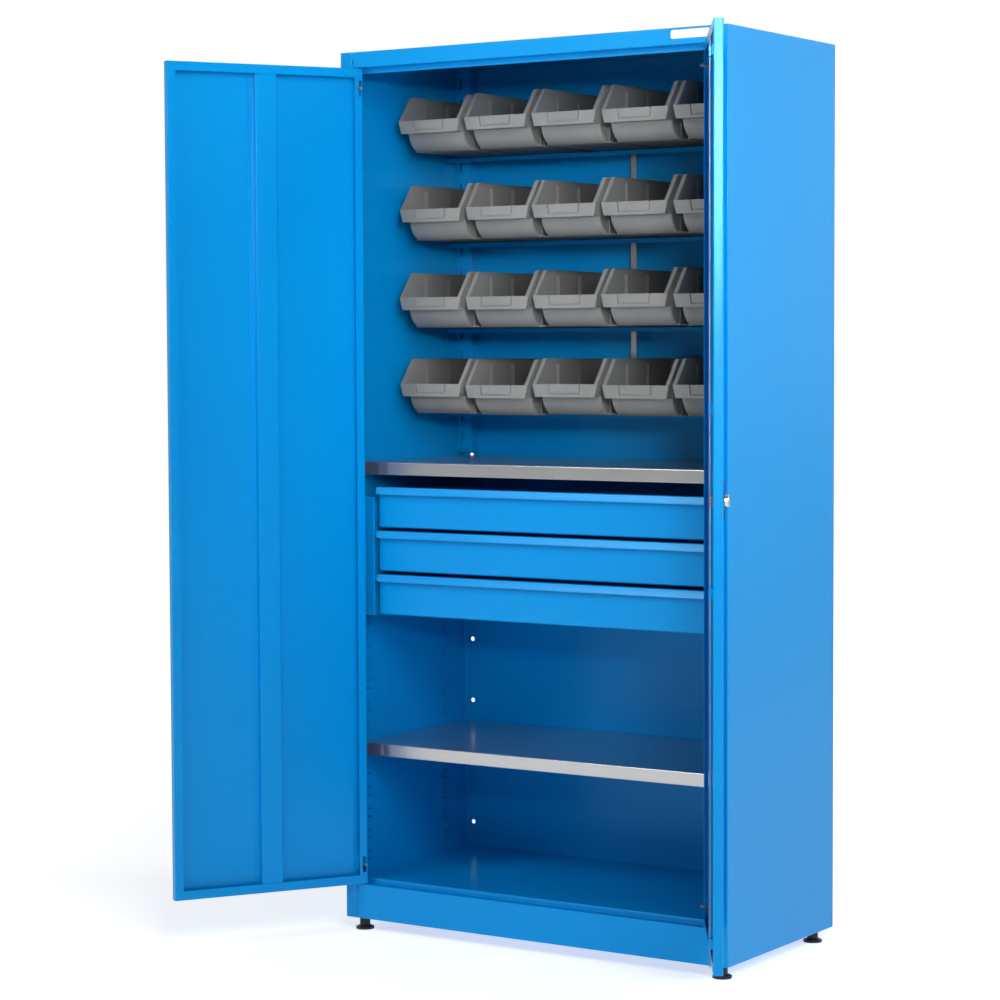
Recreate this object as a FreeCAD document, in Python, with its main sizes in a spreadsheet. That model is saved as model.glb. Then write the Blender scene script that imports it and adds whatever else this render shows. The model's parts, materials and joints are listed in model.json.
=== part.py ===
import FreeCAD, Part
import math
import os

import Sketcher
from FreeCAD import Placement, Rotation, Vector

# A steel materials cabinet: a folded shell on levelling feet, two hinged doors, a rod lock,
# two hung shelves, three drawers on telescopic slides and four rows of hanging plastic bins.
# The shell's front plane is y = 0 and its underside z = 0 inside each group of formulas; one
# shared placement then puts the whole cabinet's footprint, open doors included, on the origin.

LEFT = -1
RIGHT = 1
SIDES = (LEFT, RIGHT)
BIN_COLUMNS = 5
DRAWERS = 3
ALONG_Y = Rotation(Vector(1, 0, 0), -90)
UPRIGHT = Rotation()

SIZES = {
    # Shell: folded sheet, flush front frame, one folded bottom
    "body_width": 1000,
    "body_depth": 495,
    "body_height": 1980,
    "sheet": 1.2,
    "bend": 2.4,
    "front_flange": 32,
    "flange_return": 18,
    "rear_flange": 14,
    "base_flange": 60,
    "header": 36,
    "plinth": 80,
    "ledge": 23,
    "stop_lip": 12,
    "floor_skirt": 25,
    "relief_width": 3,
    "relief_height": 16,
    "cut_overrun": 1,
    # Wall fixing holes in the back panel
    "bolt_pitch": 150,
    "bolt_inset": 23,
    "bolt_diameter": 11,
    "bolt_rows": 12,
    # Levelling feet
    "foot_height": 30,
    "pad_diameter": 42,
    "pad_rim": 5,
    "pad_slope": 4,
    "neck_diameter": 24,
    "stud_diameter": 10,
    "stud_rise": 24,
    "stud_clearance": 0.2,
    "foot_inset": 30,
    "front_foot_setback": 32,
    "rear_foot_setback": 40,
    # Slotted liners on the side walls
    "liner_front": 50,
    "liner_rear": 459,
    "liner_depth": 5,
    "liner_sheet": 1.2,
    "front_slot_setback": 71,
    "rear_slot_setback": 387,
    "slot_height": 22,
    "slot_reach": 20,
    "slot_stroke": 4,
    "slot_pitch": 50,
    "slot_base": 130,
    "slot_count": 36,
    # Doors: folded pans turning on bent pins
    "door_thickness": 20,
    "door_sheet": 1,
    "door_lip": 20,
    "door_end_gap": 2,
    "hinge_gap": 2.5,
    "meeting_gap": 1.5,
    "door_open": 121.4,
    "pivot_edge": 8,
    "pivot_depth": 5,
    "pin_diameter": 7,
    "pin_clearance": 0.05,
    "pin_rise": 12,
    "pin_drop": 45,
    "pin_leg": 23,
    "pin_slot_width": 9,
    "pin_slot_length": 36,
    "stiffener_width": 75,
    "stiffener_flange": 12,
    "stiffener_gap": 0.4,
    # Rod lock on the right door
    "lock_level": 1012,
    "lock_edge": 30,
    "escutcheon_length": 82,
    "escutcheon_width": 30,
    "escutcheon_depth": 3,
    "case_width": 24,
    "case_length": 68,
    "knob_diameter": 24,
    "knob_depth": 6,
    "knob_grip": 4,
    "grip_width": 7,
    "spindle_diameter": 8,
    "cam_radius": 16,
    "cam_sheet": 2,
    "cam_gap": 0.4,
    "crank_radius": 10,
    "crank_turn": 45,
    "crank_pin_diameter": 5,
    "crank_play": 0.6,
    "rod_width": 12,
    "rod_sheet": 2,
    "rod_offset": 9,
    "rod_gap": 0.3,
    "rod_margin": 4,
    "guide_cheek": 3,
    "guide_height": 20,
    "guide_cap": 1,
    "guide_foot": 2,
    "guide_setback": 8,
    "guide_end": 60,
    "guide_lock": 180,
    # Hung shelves and their clips
    "shelf_sheet": 1,
    "shelf_edge": 30,
    "shelf_return": 10,
    "shelf_setback": 52,
    "shelf_rear_gap": 1.5,
    "shelf_side_gap": 3,
    "shelf_rise": 20,
    "lower_shelf_step": 5,
    "upper_shelf_step": 18,
    "clip_sheet": 2,
    "clip_width": 22,
    "clip_ledge": 16,
    "nub_height": 14,
    "nub_reach": 4,
    "nub_play": 0.4,
    # Drawer unit
    "drawer_base": 700,
    "drawer_pitch": 100,
    "drawer_sheet": 1.2,
    "drawer_setback": 44.5,
    "front_height": 93.5,
    "grip_reach": 17,
    "grip_height": 16.5,
    "grip_corner": 8,
    "front_return": 14,
    "front_bend": 5,
    "tray_depth": 424,
    "tray_height": 72,
    "tray_rise": 8,
    "plate_sheet": 1.5,
    "plate_rear": 480,
    "plate_foot": 3,
    "plate_height": 272,
    "plate_flange": 52.3,
    "slide_space": 15.5,
    "slide_height": 45,
    "slide_setback": 21,
    "slide_length": 400,
    "slide_sheet": 1.5,
    "slide_play": 0.3,
    "slide_inset": 6.5,
    "slide_lip_gap": 2,
    "slide_level": 42,
    # Bin carriers
    "upright_width": 43.8,
    "upright_setback": 461,
    "upright_base": 1058,
    "upright_sheet": 1.5,
    "upright_slot_width": 6,
    "upright_slot_length": 26.5,
    "upright_slot_inset": 17,
    "upright_slot_base": 1080,
    "upright_slot_count": 18,
    "upright_hole_diameter": 5,
    "upright_hole_end": 8,
    "upright_hole_inset": 15,
    "upright_hole_spacing": 16,
    "rail_end_gap": 5.8,
    "rail_sheet": 1.5,
    "rail_front": 415,
    "rail_web": 449,
    "rail_lip": 11,
    "rail_rise": 100,
    "rail_foot_base": 12,
    "rail_foot_height": 36,
    "rail_foot_width": 32,
    "rail_foot_inset": 1,
    "tie_width": 14,
    "tie_sheet": 2,
    # Hanging bins
    "bin_width": 170,
    "bin_body": 156,
    "bin_depth": 291,
    "bin_height": 127,
    "bin_wall": 2.5,
    "bin_margin": 37.8,
    "bin_rim": 3,
    "lip_top": 69,
    "lip_bottom": 40,
    "lip_slope": 2.5,
    "front_setback": 26,
    "front_toe": 60,
    "front_curve": 53,
    "mouth_run": 44,
    "hook_width": 100,
    "hook_sheet": 3,
    "hook_drop": 12,
    "hang_gap": 0.3,
    "top_row_base": 1764.5,
    "second_row_base": 1561.5,
    "third_row_base": 1357.5,
    "bottom_row_base": 1158,
}


class Size:
    """A length or angle known both as a number and as a formula on the sheet's cells."""

    def __init__(self, text, value):
        self.text = text
        self.value = value

    def joined(self, sign, other, value):
        return Size(f"({self.text} {sign} {other.text})", value)

    def __add__(self, other):
        other = sized(other)
        return self.joined("+", other, self.value + other.value)

    def __sub__(self, other):
        other = sized(other)
        return self.joined("-", other, self.value - other.value)

    def __mul__(self, other):
        other = sized(other)
        return self.joined("*", other, self.value * other.value)

    def __truediv__(self, other):
        other = sized(other)
        return self.joined("/", other, self.value / other.value)

    def __neg__(self):
        return Size(f"(-{self.text})", -self.value)


class Sheet:
    """The driving dimensions, one named cell each."""

    def __init__(self, document):
        self.table = document.addObject("Spreadsheet::Sheet", "Sizes")
        for row, (name, value) in enumerate(SIZES.items(), start=1):
            self.table.set(f"A{row}", name)
            self.table.set(f"B{row}", str(value))
            self.table.setAlias(f"B{row}", name)
            setattr(self, name, Size(f"Sizes.{name}", value))


def sized(item):
    """A plain ratio or zero as a size, and a size as it is."""
    return item if isinstance(item, Size) else Size(str(item), item)


def sine(angle):
    return Size(f"sin({angle.text})", math.sin(math.radians(angle.value)))


def cosine(angle):
    return Size(f"cos({angle.text})", math.cos(math.radians(angle.value)))


doc = FreeCAD.newDocument("materials_cabinet")
S = Sheet(doc)
doc.recompute()

# Places that several pieces share
HALF = S.body_width / 2
INNER = HALF - S.sheet
REAR = S.body_depth - S.sheet
FLOOR_TOP = S.plinth + S.stop_lip
HEADER_BASE = S.body_height - S.header
DOOR_WIDTH = HALF - S.front_flange - S.hinge_gap - S.meeting_gap
DOOR_HEIGHT = HEADER_BASE - S.plinth - S.door_end_gap * 2
PIVOT = HALF - S.front_flange - S.hinge_gap - S.pivot_edge
DOOR_OUTER = -S.pivot_depth
DOOR_INNER = S.door_thickness - S.pivot_depth
FREE_EDGE = DOOR_WIDTH - S.pivot_edge
CORNER = (FREE_EDGE - S.bend, DOOR_INNER - S.bend)
SWUNG = CORNER[0] * sine(S.door_open) - CORNER[1] * cosine(S.door_open)
REACH = SWUNG + S.bend - S.pivot_depth
FRONT = (REACH - S.body_depth) / 2
CABINET = (0, FRONT, S.foot_height)
DOOR_BASE = S.plinth + S.door_end_gap


def bind(item, prop, size):
    """Tie one property to a size on the sheet."""
    item.setExpression(prop, sized(size).text)


def place(item, point, rotation=UPRIGHT):
    """Turn a piece and tie its corner or centre to a point of three sizes."""
    item.Placement = Placement(Vector(), rotation)
    for axis, size in zip("xyz", point):
        bind(item, f"Placement.Base.{axis}", size)


def new_body(label, point=CABINET):
    """An empty body under its own label, placed by sizes."""
    body = doc.addObject("PartDesign::Body", label)
    body.Label = label
    place(body, point)
    return body


def origin_part(body, role):
    return next(item for item in body.Origin.OriginFeatures if item.Role == role)


def chord_arc(start, end, radius):
    """The short arc from start to end that turns left about its centre."""
    chord = end - start
    rise = math.sqrt(radius ** 2 - (chord.Length / 2) ** 2)
    normal = Vector(-chord.y, chord.x, 0).normalize()
    centre = (start + end) * 0.5 + normal * rise
    first = math.atan2(start.y - centre.y, start.x - centre.x)
    last = math.atan2(end.y - centre.y, end.x - centre.x)
    circle = Part.Circle(centre, Vector(0, 0, 1), radius)
    return Part.ArcOfCircle(circle, first, last)


def outline(body, role, points, curves=None):
    """A closed outline through points of two sizes; curves gives arcs by side number."""
    curves = curves or {}
    sketch = body.newObject("Sketcher::SketchObject", f"{body.Name}_outline")
    sketch.AttachmentSupport = [(origin_part(body, role), "")]
    sketch.MapMode = "FlatFace"
    points = [(sized(u), sized(v)) for u, v in points]
    corners = [Vector(u.value, v.value, 0) for u, v in points]
    count = len(corners)
    lines = []
    for side, corner in enumerate(corners):
        following = corners[(side + 1) % count]
        if side in curves:
            lines.append(chord_arc(corner, following, curves[side].value))
        else:
            lines.append(Part.LineSegment(corner, following))
    sketch.addGeometry(lines)
    ties = [Sketcher.Constraint("Coincident", side, 2, (side + 1) % count, 1) for side in range(count)]
    bound = {}
    for side, point in enumerate(points):
        for kind, size in zip(("DistanceX", "DistanceY"), point):
            bound[len(ties)] = size
            ties.append(Sketcher.Constraint(kind, side, 1, size.value))
    for side, radius in curves.items():
        bound[len(ties)] = radius
        ties.append(Sketcher.Constraint("Radius", side, radius.value))
    sketch.addConstraint(ties)
    for index, size in bound.items():
        if size.text != "0":
            sketch.setExpression(f"Constraints[{index}]", size.text)
    return sketch


def padded(body, sketch, length, symmetric=False, flipped=False):
    """Grow an outline into a solid."""
    pad = body.newObject("PartDesign::Pad", f"{body.Name}_pad")
    pad.Profile = sketch
    bind(pad, "Length", length)
    pad.SideType = "Symmetric" if symmetric else "One side"
    pad.Reversed = flipped
    return pad


def block(body, kind, xs, ys, zs):
    """A box of a body, Additive or Subtractive, between three pairs of places."""
    spans = [(sized(low), sized(high)) for low, high in (xs, ys, zs)]
    box = body.newObject(f"PartDesign::{kind}Box", f"{body.Name}_block")
    for prop, (low, high) in zip(("Length", "Width", "Height"), spans):
        bind(box, prop, high - low)
    place(box, [low for low, high in spans])
    return box


def round_bar(body, kind, point, diameter, length, rotation=UPRIGHT):
    """A cylinder of a body, Additive or Subtractive, from a point along +Z or +Y."""
    bar = body.newObject(f"PartDesign::{kind}Cylinder", f"{body.Name}_round")
    bind(bar, "Radius", sized(diameter) / 2)
    bind(bar, "Height", length)
    place(bar, point, rotation)
    return bar


def rounded(body, base, edges, radius):
    """Round the named edges of a feature."""
    fillet = body.newObject("PartDesign::Fillet", f"{body.Name}_fillet")
    fillet.Base = (base, edges)
    bind(fillet, "Radius", radius)
    doc.recompute()
    return fillet


def straight_edges(feature, axis, lines):
    """Names of the edges along an axis whose other two coordinates are on one of the lines."""
    kept = [index for index in range(3) if index != axis]
    found = []
    for number, edge in enumerate(feature.Shape.Edges, start=1):
        first, last = edge.Vertexes[0].Point, edge.Vertexes[-1].Point
        for line in lines:
            gaps = [abs(end[index] - value) for end in (first, last) for index, value in zip(kept, line)]
            if max(gaps) < S.pin_clearance.value:
                found.append(f"Edge{number}")
    return found


def repeated(body, features, axis, spacing, count):
    """Copy features in a row along one of the body's axes."""
    pattern = body.newObject("PartDesign::LinearPattern", f"{body.Name}_row")
    pattern.Originals = features
    pattern.Direction = (origin_part(body, axis), [""])
    bind(pattern, "Length", spacing * (count - 1))
    bind(pattern, "Occurrences", count)
    body.Tip = pattern
    return pattern


def folded(body, role, path, gauge, length, hand, radius=None, symmetric=False, points_axis=2):
    """A bent sheet: an axis-parallel path thickened to its left (1) or right (-1), bends rounded."""
    radius = radius or S.bend
    path = [(sized(u), sized(v)) for u, v in path]
    normals = []
    for (u, v), (next_u, next_v) in zip(path, path[1:]):
        run = (next_u.value - u.value, next_v.value - v.value)
        size = max(abs(run[0]), abs(run[1]))
        normals.append((round(-run[1] / size) * hand, round(run[0] / size) * hand))
    turns = []
    inner = []
    for index, (u, v) in enumerate(path):
        before = normals[max(index - 1, 0)]
        after = normals[min(index, len(normals) - 1)]
        shift = before if before == after else (before[0] + after[0], before[1] + after[1])
        inner.append((u + gauge * shift[0], v + gauge * shift[1]))
        turns.append((before[0] * after[1] - before[1] * after[0]) * hand)
    pad = padded(body, outline(body, role, path + inner[::-1]), length, symmetric)
    doc.recompute()
    outer_lines = []
    inner_lines = []
    for turn, near, far in zip(turns, path, inner):
        if turn:
            convex, hollow = (near, far) if turn > 0 else (far, near)
            outer_lines.append((convex[0].value, convex[1].value))
            inner_lines.append((hollow[0].value, hollow[1].value))
    base = rounded(body, pad, straight_edges(pad, points_axis, outer_lines), radius)
    return rounded(body, base, straight_edges(base, points_axis, inner_lines), radius - gauge)


def group(label, pieces, point=CABINET):
    """One node of separate like pieces."""
    node = doc.addObject("Part::Compound", label)
    node.Label = label
    node.Links = pieces
    place(node, point)
    return node


def side_name(side):
    return "left" if side == LEFT else "right"


def wall_x(side, inset):
    """The x of a plane at an inset from the outside of one wall."""
    return (HALF - inset) * side


def wall_span(side, near, far):
    """The x span between two insets from the outside of one wall."""
    return (near - HALF, far - HALF) if side == LEFT else (HALF - far, HALF - near)


def ordered(low, high):
    return (low, high) if low.value < high.value else (high, low)


# Shell

def side_panel(side):
    """A wall with its front flange and return, its rear flange and the foot flange at its base."""
    body = new_body(f"{side_name(side)}_side_panel")
    path = [
        (wall_x(side, S.rear_flange), REAR),
        (wall_x(side, sized(0)), REAR),
        (wall_x(side, sized(0)), 0),
        (wall_x(side, S.front_flange), 0),
        (wall_x(side, S.front_flange), S.flange_return),
    ]
    folded(body, "XY_Plane", path, S.sheet, S.body_height - S.sheet, -side)
    block(body, "Additive", wall_span(side, S.sheet, S.base_flange), (S.sheet, REAR - S.sheet), (0, S.sheet))
    for depth in (S.front_foot_setback, S.body_depth - S.rear_foot_setback):
        point = (wall_x(side, S.foot_inset), depth, -S.cut_overrun)
        hole = S.stud_diameter + S.stud_clearance * 2
        round_bar(body, "Subtractive", point, hole, S.sheet + S.cut_overrun * 2)
    return body


def back_panel():
    """The flat back with a column of fixing holes near each edge."""
    body = new_body("back_panel")
    block(body, "Additive", (-HALF, HALF), (REAR, S.body_depth), (0, S.body_height - S.sheet))
    holes = []
    for side in SIDES:
        point = (wall_x(side, S.bolt_inset), REAR - S.cut_overrun, S.bolt_pitch)
        length = S.sheet + S.cut_overrun * 2
        holes.append(round_bar(body, "Subtractive", point, S.bolt_diameter, length, ALONG_Y))
    repeated(body, holes, "Z_Axis", S.bolt_pitch, S.bolt_rows)
    return body


def corner_reliefs(body, base):
    """Small slots where the front of a cross panel meets the side flanges."""
    for side in SIDES:
        across = wall_span(side, S.front_flange - S.cut_overrun, S.front_flange + S.relief_width)
        rise = ordered(base, base + S.relief_height)
        block(body, "Subtractive", across, (-S.cut_overrun, S.bend), rise)


def pivot_holes(body, base):
    """Holes for the door pins through a ledge."""
    for side in SIDES:
        point = (PIVOT * side, S.pivot_depth, base - S.cut_overrun)
        hole = S.pin_diameter + S.pin_clearance * 2
        round_bar(body, "Subtractive", point, hole, S.sheet + S.cut_overrun * 2)


def top_panel():
    """Roof, header, ledge and stop lip folded from one sheet."""
    body = new_body("top_panel")
    path = [
        (S.body_depth, S.body_height),
        (0, S.body_height),
        (0, HEADER_BASE),
        (S.ledge, HEADER_BASE),
        (S.ledge, HEADER_BASE - S.stop_lip),
    ]
    width = S.body_width - S.front_flange * 2
    folded(body, "YZ_Plane", path, S.sheet, width, 1, symmetric=True, points_axis=0)
    for side in SIDES:
        roof = (S.body_height - S.sheet, S.body_height)
        block(body, "Additive", wall_span(side, sized(0), S.front_flange), (0, S.body_depth), roof)
    corner_reliefs(body, HEADER_BASE + S.bend)
    pivot_holes(body, HEADER_BASE)
    return body


def bottom_panel():
    """Plinth, ledge, step and floor folded from one sheet, with a skirt against each wall."""
    body = new_body("bottom_panel")
    path = [
        (0, 0),
        (0, S.plinth),
        (S.ledge, S.plinth),
        (S.ledge, FLOOR_TOP),
        (REAR - S.sheet, FLOOR_TOP),
        (REAR - S.sheet, FLOOR_TOP - S.floor_skirt),
    ]
    width = S.body_width - S.front_flange * 2
    folded(body, "YZ_Plane", path, S.sheet, width, -1, symmetric=True, points_axis=0)
    for side in SIDES:
        depth = (S.ledge, REAR - S.bend)
        floor = (FLOOR_TOP - S.sheet, FLOOR_TOP)
        skirt = (FLOOR_TOP - S.floor_skirt, FLOOR_TOP)
        block(body, "Additive", wall_span(side, S.sheet, S.front_flange), depth, floor)
        block(body, "Additive", wall_span(side, S.sheet, S.sheet * 2), depth, skirt)
    corner_reliefs(body, S.plinth - S.bend - S.relief_height)
    pivot_holes(body, S.plinth - S.sheet)
    across = LOCK_X - S.rod_offset
    half = S.rod_width / 2 + S.cut_overrun
    depth = (ROD_FRONT + S.pivot_depth - S.rod_gap, ROD_BACK + S.pivot_depth + S.cut_overrun)
    rise = (FLOOR_TOP - S.sheet - S.cut_overrun, FLOOR_TOP + S.cut_overrun)
    block(body, "Subtractive", (across - half, across + half), depth, rise)
    return body


def slotted_liner(side):
    """A shallow pan welded to one wall, with two columns of slots for the shelf clips."""
    body = new_body(f"{side_name(side)}_slotted_liner", (0, 0, 0))
    face = S.sheet + S.liner_depth
    path = [
        (wall_x(side, S.sheet), S.liner_front),
        (wall_x(side, face), S.liner_front),
        (wall_x(side, face), S.liner_rear),
        (wall_x(side, S.sheet), S.liner_rear),
    ]
    top = S.body_height - S.sheet
    folded(body, "XY_Plane", path, S.liner_sheet, top, -side)
    block(body, "Subtractive", wall_span(side, sized(0), face + S.cut_overrun),
          (S.liner_front - S.cut_overrun, S.liner_rear + S.cut_overrun),
          (-S.cut_overrun, FLOOR_TOP))
    across = wall_span(side, face - S.liner_sheet - S.cut_overrun, face + S.cut_overrun)
    half = S.slot_height / 2
    cuts = []
    for start in (S.front_slot_setback, S.rear_slot_setback):
        cuts.append(block(body, "Subtractive", across, (start, start + S.slot_stroke),
                          (S.slot_base - half, S.slot_base + half)))
        for base in (S.slot_base - half, S.slot_base + half - S.slot_stroke):
            cuts.append(block(body, "Subtractive", across, (start, start + S.slot_reach),
                              (base, base + S.slot_stroke)))
    repeated(body, cuts, "Z_Axis", S.slot_pitch, S.slot_count)
    return body


def foot(number, side, depth):
    """A levelling foot: pad, neck and threaded stud."""
    body = new_body(f"foot_{number}", (wall_x(side, S.foot_inset), depth, -S.foot_height))
    points = [
        (0, 0),
        (S.pad_diameter / 2, 0),
        (S.pad_diameter / 2, S.pad_rim),
        (S.neck_diameter / 2, S.pad_rim + S.pad_slope),
        (S.neck_diameter / 2, S.foot_height),
        (S.stud_diameter / 2, S.foot_height),
        (S.stud_diameter / 2, S.foot_height + S.stud_rise),
        (0, S.foot_height + S.stud_rise),
    ]
    turned = body.newObject("PartDesign::Revolution", f"{body.Name}_turned")
    turned.Profile = outline(body, "XZ_Plane", points)
    turned.ReferenceAxis = (origin_part(body, "Z_Axis"), [""])
    turned.Angle = 360
    return body


# Doors: each is drawn closed about its own pin line and then turned open

LOCK_U = FREE_EDGE - S.lock_edge
LOCK_X = PIVOT - LOCK_U
LOCK_Z = S.lock_level - DOOR_BASE
CAM_FRONT = DOOR_INNER + S.cam_gap
CAM_BACK = CAM_FRONT + S.cam_sheet
ROD_FRONT = S.ledge + S.sheet + S.rod_gap - S.pivot_depth
ROD_BACK = ROD_FRONT + S.rod_sheet


def hinged(item, side):
    """Hang a piece of a door on its pin line at the resting angle."""
    point = (PIVOT * side, FRONT + S.pivot_depth, S.foot_height + DOOR_BASE)
    place(item, point, Rotation(Vector(0, 0, side), S.door_open.value))
    bind(item, "Placement.Rotation.Angle", S.door_open)


def door_span(side, near, far):
    """The x span between two distances from the pin line."""
    return (near, far) if side == LEFT else (-far, -near)


def door(side):
    """A pan: outer skin, four walls and four inner lips, pierced for its pins."""
    body = doc.addObject("PartDesign::Body", f"{side_name(side)}_door")
    body.Label = body.Name
    hinged(body, side)
    edge = S.pivot_edge
    path = [
        ((S.door_lip - edge) * -side, DOOR_INNER),
        (edge * side, DOOR_INNER),
        (edge * side, DOOR_OUTER),
        (FREE_EDGE * -side, DOOR_OUTER),
        (FREE_EDGE * -side, DOOR_INNER),
        ((FREE_EDGE - S.door_lip) * -side, DOOR_INNER),
    ]
    folded(body, "XY_Plane", path, S.door_sheet, DOOR_HEIGHT, -side)
    across = door_span(side, S.door_sheet - edge, FREE_EDGE - S.door_sheet)
    lip = (DOOR_INNER - S.door_sheet, DOOR_INNER)
    wall = (DOOR_OUTER + S.door_sheet, DOOR_INNER)
    for low, high in ((sized(0), S.door_sheet), (DOOR_HEIGHT - S.door_sheet, DOOR_HEIGHT)):
        block(body, "Additive", across, wall, (low, high))
    for low, high in ((sized(0), S.door_lip), (DOOR_HEIGHT - S.door_lip, DOOR_HEIGHT)):
        block(body, "Additive", across, lip, (low, high))
    hole = S.pin_diameter + S.pin_clearance * 2
    for base in (-S.cut_overrun, DOOR_HEIGHT - S.door_sheet - S.cut_overrun):
        round_bar(body, "Subtractive", (0, 0, base), hole, S.door_sheet + S.cut_overrun * 2)
    half = S.pin_slot_width / 2
    for level in (S.pin_drop, DOOR_HEIGHT - S.pin_drop):
        rise = (level - S.pin_slot_length / 2, level + S.pin_slot_length / 2)
        depth = (DOOR_INNER - S.door_sheet - S.cut_overrun, DOOR_INNER + S.cut_overrun)
        block(body, "Subtractive", (-half, half), depth, rise)
    if side == RIGHT:
        point = (-LOCK_U, DOOR_OUTER - S.cut_overrun, LOCK_Z)
        bore = S.spindle_diameter + S.pin_clearance * 2
        round_bar(body, "Subtractive", point, bore, S.door_sheet + S.cut_overrun * 2, ALONG_Y)
    return body


def stiffener(side):
    """A full-height hat rail welded inside a door."""
    body = doc.addObject("PartDesign::Body", f"{side_name(side)}_door_stiffener")
    body.Label = body.Name
    hinged(body, side)
    middle = (DOOR_WIDTH / 2 - S.pivot_edge) * -side
    half = S.stiffener_width / 2
    crown = half - S.stiffener_flange
    seat = DOOR_OUTER + S.door_sheet * 2
    top = DOOR_INNER - S.door_sheet - S.stiffener_gap
    path = [
        (middle - half, seat),
        (middle - crown, seat),
        (middle - crown, top),
        (middle + crown, top),
        (middle + crown, seat),
        (middle + half, seat),
    ]
    folded(body, "XY_Plane", path, S.door_sheet, DOOR_HEIGHT - S.door_sheet, -1)
    block(body, "Subtractive", (middle - half * 2, middle + half * 2), (DOOR_OUTER, DOOR_INNER),
          (-S.cut_overrun, S.door_sheet))
    return body


def hinge_pins(side):
    """The bent pins at the head and foot of a door."""
    pins = []
    span = S.pin_drop + S.pin_rise + S.pin_diameter / 2
    for name, base, level in (
        ("lower", -S.pin_rise, S.pin_drop),
        ("upper", DOOR_HEIGHT + S.pin_rise - span, DOOR_HEIGHT - S.pin_drop),
    ):
        body = new_body(f"{side_name(side)}_{name}_pin", (0, 0, 0))
        round_bar(body, "Additive", (0, 0, base), S.pin_diameter, span)
        round_bar(body, "Additive", (0, 0, level), S.pin_diameter, S.pin_leg, ALONG_Y)
        pins.append(body)
    node = group(f"{side_name(side)}_hinge_pins", pins)
    hinged(node, side)
    return node


def lock_piece(label):
    body = doc.addObject("PartDesign::Body", label)
    body.Label = label
    hinged(body, RIGHT)
    return body


def lock_escutcheon():
    """The long plate with round ends on the outside of the right door."""
    body = lock_piece("lock_escutcheon")
    half = S.escutcheon_width / 2
    straight = S.escutcheon_length / 2 - half
    depth = (DOOR_OUTER - S.escutcheon_depth, DOOR_OUTER)
    block(body, "Additive", (-LOCK_U - half, -LOCK_U + half), depth, (LOCK_Z - straight, LOCK_Z + straight))
    for level in (LOCK_Z - straight, LOCK_Z + straight):
        point = (-LOCK_U, depth[0], level)
        round_bar(body, "Additive", point, S.escutcheon_width, S.escutcheon_depth, ALONG_Y)
    point = (-LOCK_U, depth[0] - S.cut_overrun, LOCK_Z)
    bore = S.spindle_diameter + S.pin_clearance * 2
    round_bar(body, "Subtractive", point, bore, S.escutcheon_depth + S.cut_overrun * 2, ALONG_Y)
    return body


def lock_case():
    """The lock's body inside the door pan, bored for the spindle."""
    body = lock_piece("lock_case")
    half = S.case_width / 2
    depth = (DOOR_OUTER + S.door_sheet, DOOR_INNER - S.door_sheet - S.rod_gap)
    rise = (LOCK_Z - S.case_length / 2, LOCK_Z + S.case_length / 2)
    block(body, "Additive", (-LOCK_U - half, -LOCK_U + half), depth, rise)
    point = (-LOCK_U, depth[0] - S.cut_overrun, LOCK_Z)
    bore = S.spindle_diameter + S.pin_clearance * 2
    round_bar(body, "Subtractive", point, bore, S.door_thickness, ALONG_Y)
    return body


def lock_knob():
    """The round turning knob with its grip bar and spindle."""
    body = lock_piece("lock_knob")
    face = DOOR_OUTER - S.escutcheon_depth
    point = (-LOCK_U, face - S.knob_depth, LOCK_Z)
    round_bar(body, "Additive", point, S.knob_diameter, S.knob_depth, ALONG_Y)
    round_bar(body, "Additive", (-LOCK_U, face, LOCK_Z), S.spindle_diameter, CAM_BACK - face, ALONG_Y)
    half = S.grip_width / 2
    long_half = S.knob_diameter / 2
    block(body, "Additive", (-LOCK_U - half, -LOCK_U + half),
          (face - S.knob_depth - S.knob_grip, face - S.knob_depth), (LOCK_Z - long_half, LOCK_Z + long_half))
    return body


def lock_cam():
    """The round cam behind the lock with one crank pin for each rod."""
    body = lock_piece("lock_cam")
    point = (-LOCK_U, CAM_FRONT, LOCK_Z)
    round_bar(body, "Additive", point, S.cam_radius * 2, S.cam_sheet, ALONG_Y)
    bore = S.spindle_diameter + S.pin_clearance * 2
    round_bar(body, "Subtractive", (-LOCK_U, CAM_FRONT - S.cut_overrun, LOCK_Z), bore,
              S.cam_sheet + S.cut_overrun * 2, ALONG_Y)
    for hand in (1, -1):
        swing = S.crank_radius * hand
        point = (swing * cosine(S.crank_turn) - LOCK_U, CAM_BACK, LOCK_Z - swing * sine(S.crank_turn))
        round_bar(body, "Additive", point, S.crank_pin_diameter, ROD_BACK - CAM_BACK, ALONG_Y)
    return body


def lock_rod(hand):
    """A flat rod from the cam to the head (1) or foot (-1) of the door, slotted for its crank pin."""
    body = lock_piece("upper_lock_rod" if hand > 0 else "lower_lock_rod")
    centre = S.rod_offset * hand - LOCK_U
    pin = LOCK_Z - S.crank_radius * sine(S.crank_turn) * hand
    tail = pin - (S.crank_pin_diameter + S.crank_play * 2) * hand
    upper_tip = HEADER_BASE - S.stop_lip - S.rod_margin - DOOR_BASE
    lower_tip = FLOOR_TOP + S.rod_margin - DOOR_BASE
    tip = upper_tip if hand > 0 else lower_tip
    half = S.rod_width / 2
    block(body, "Additive", (centre - half, centre + half), (ROD_FRONT, ROD_BACK), ordered(tail, tip))
    slot = S.crank_pin_diameter / 2 + S.crank_play
    near = S.crank_radius * cosine(S.crank_turn) - slot
    far = S.crank_radius + slot
    across = ordered(near * hand - LOCK_U, far * hand - LOCK_U)
    depth = (ROD_FRONT - S.cut_overrun, ROD_BACK + S.cut_overrun)
    block(body, "Subtractive", across, depth, (pin - slot, pin + slot))
    return body


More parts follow.
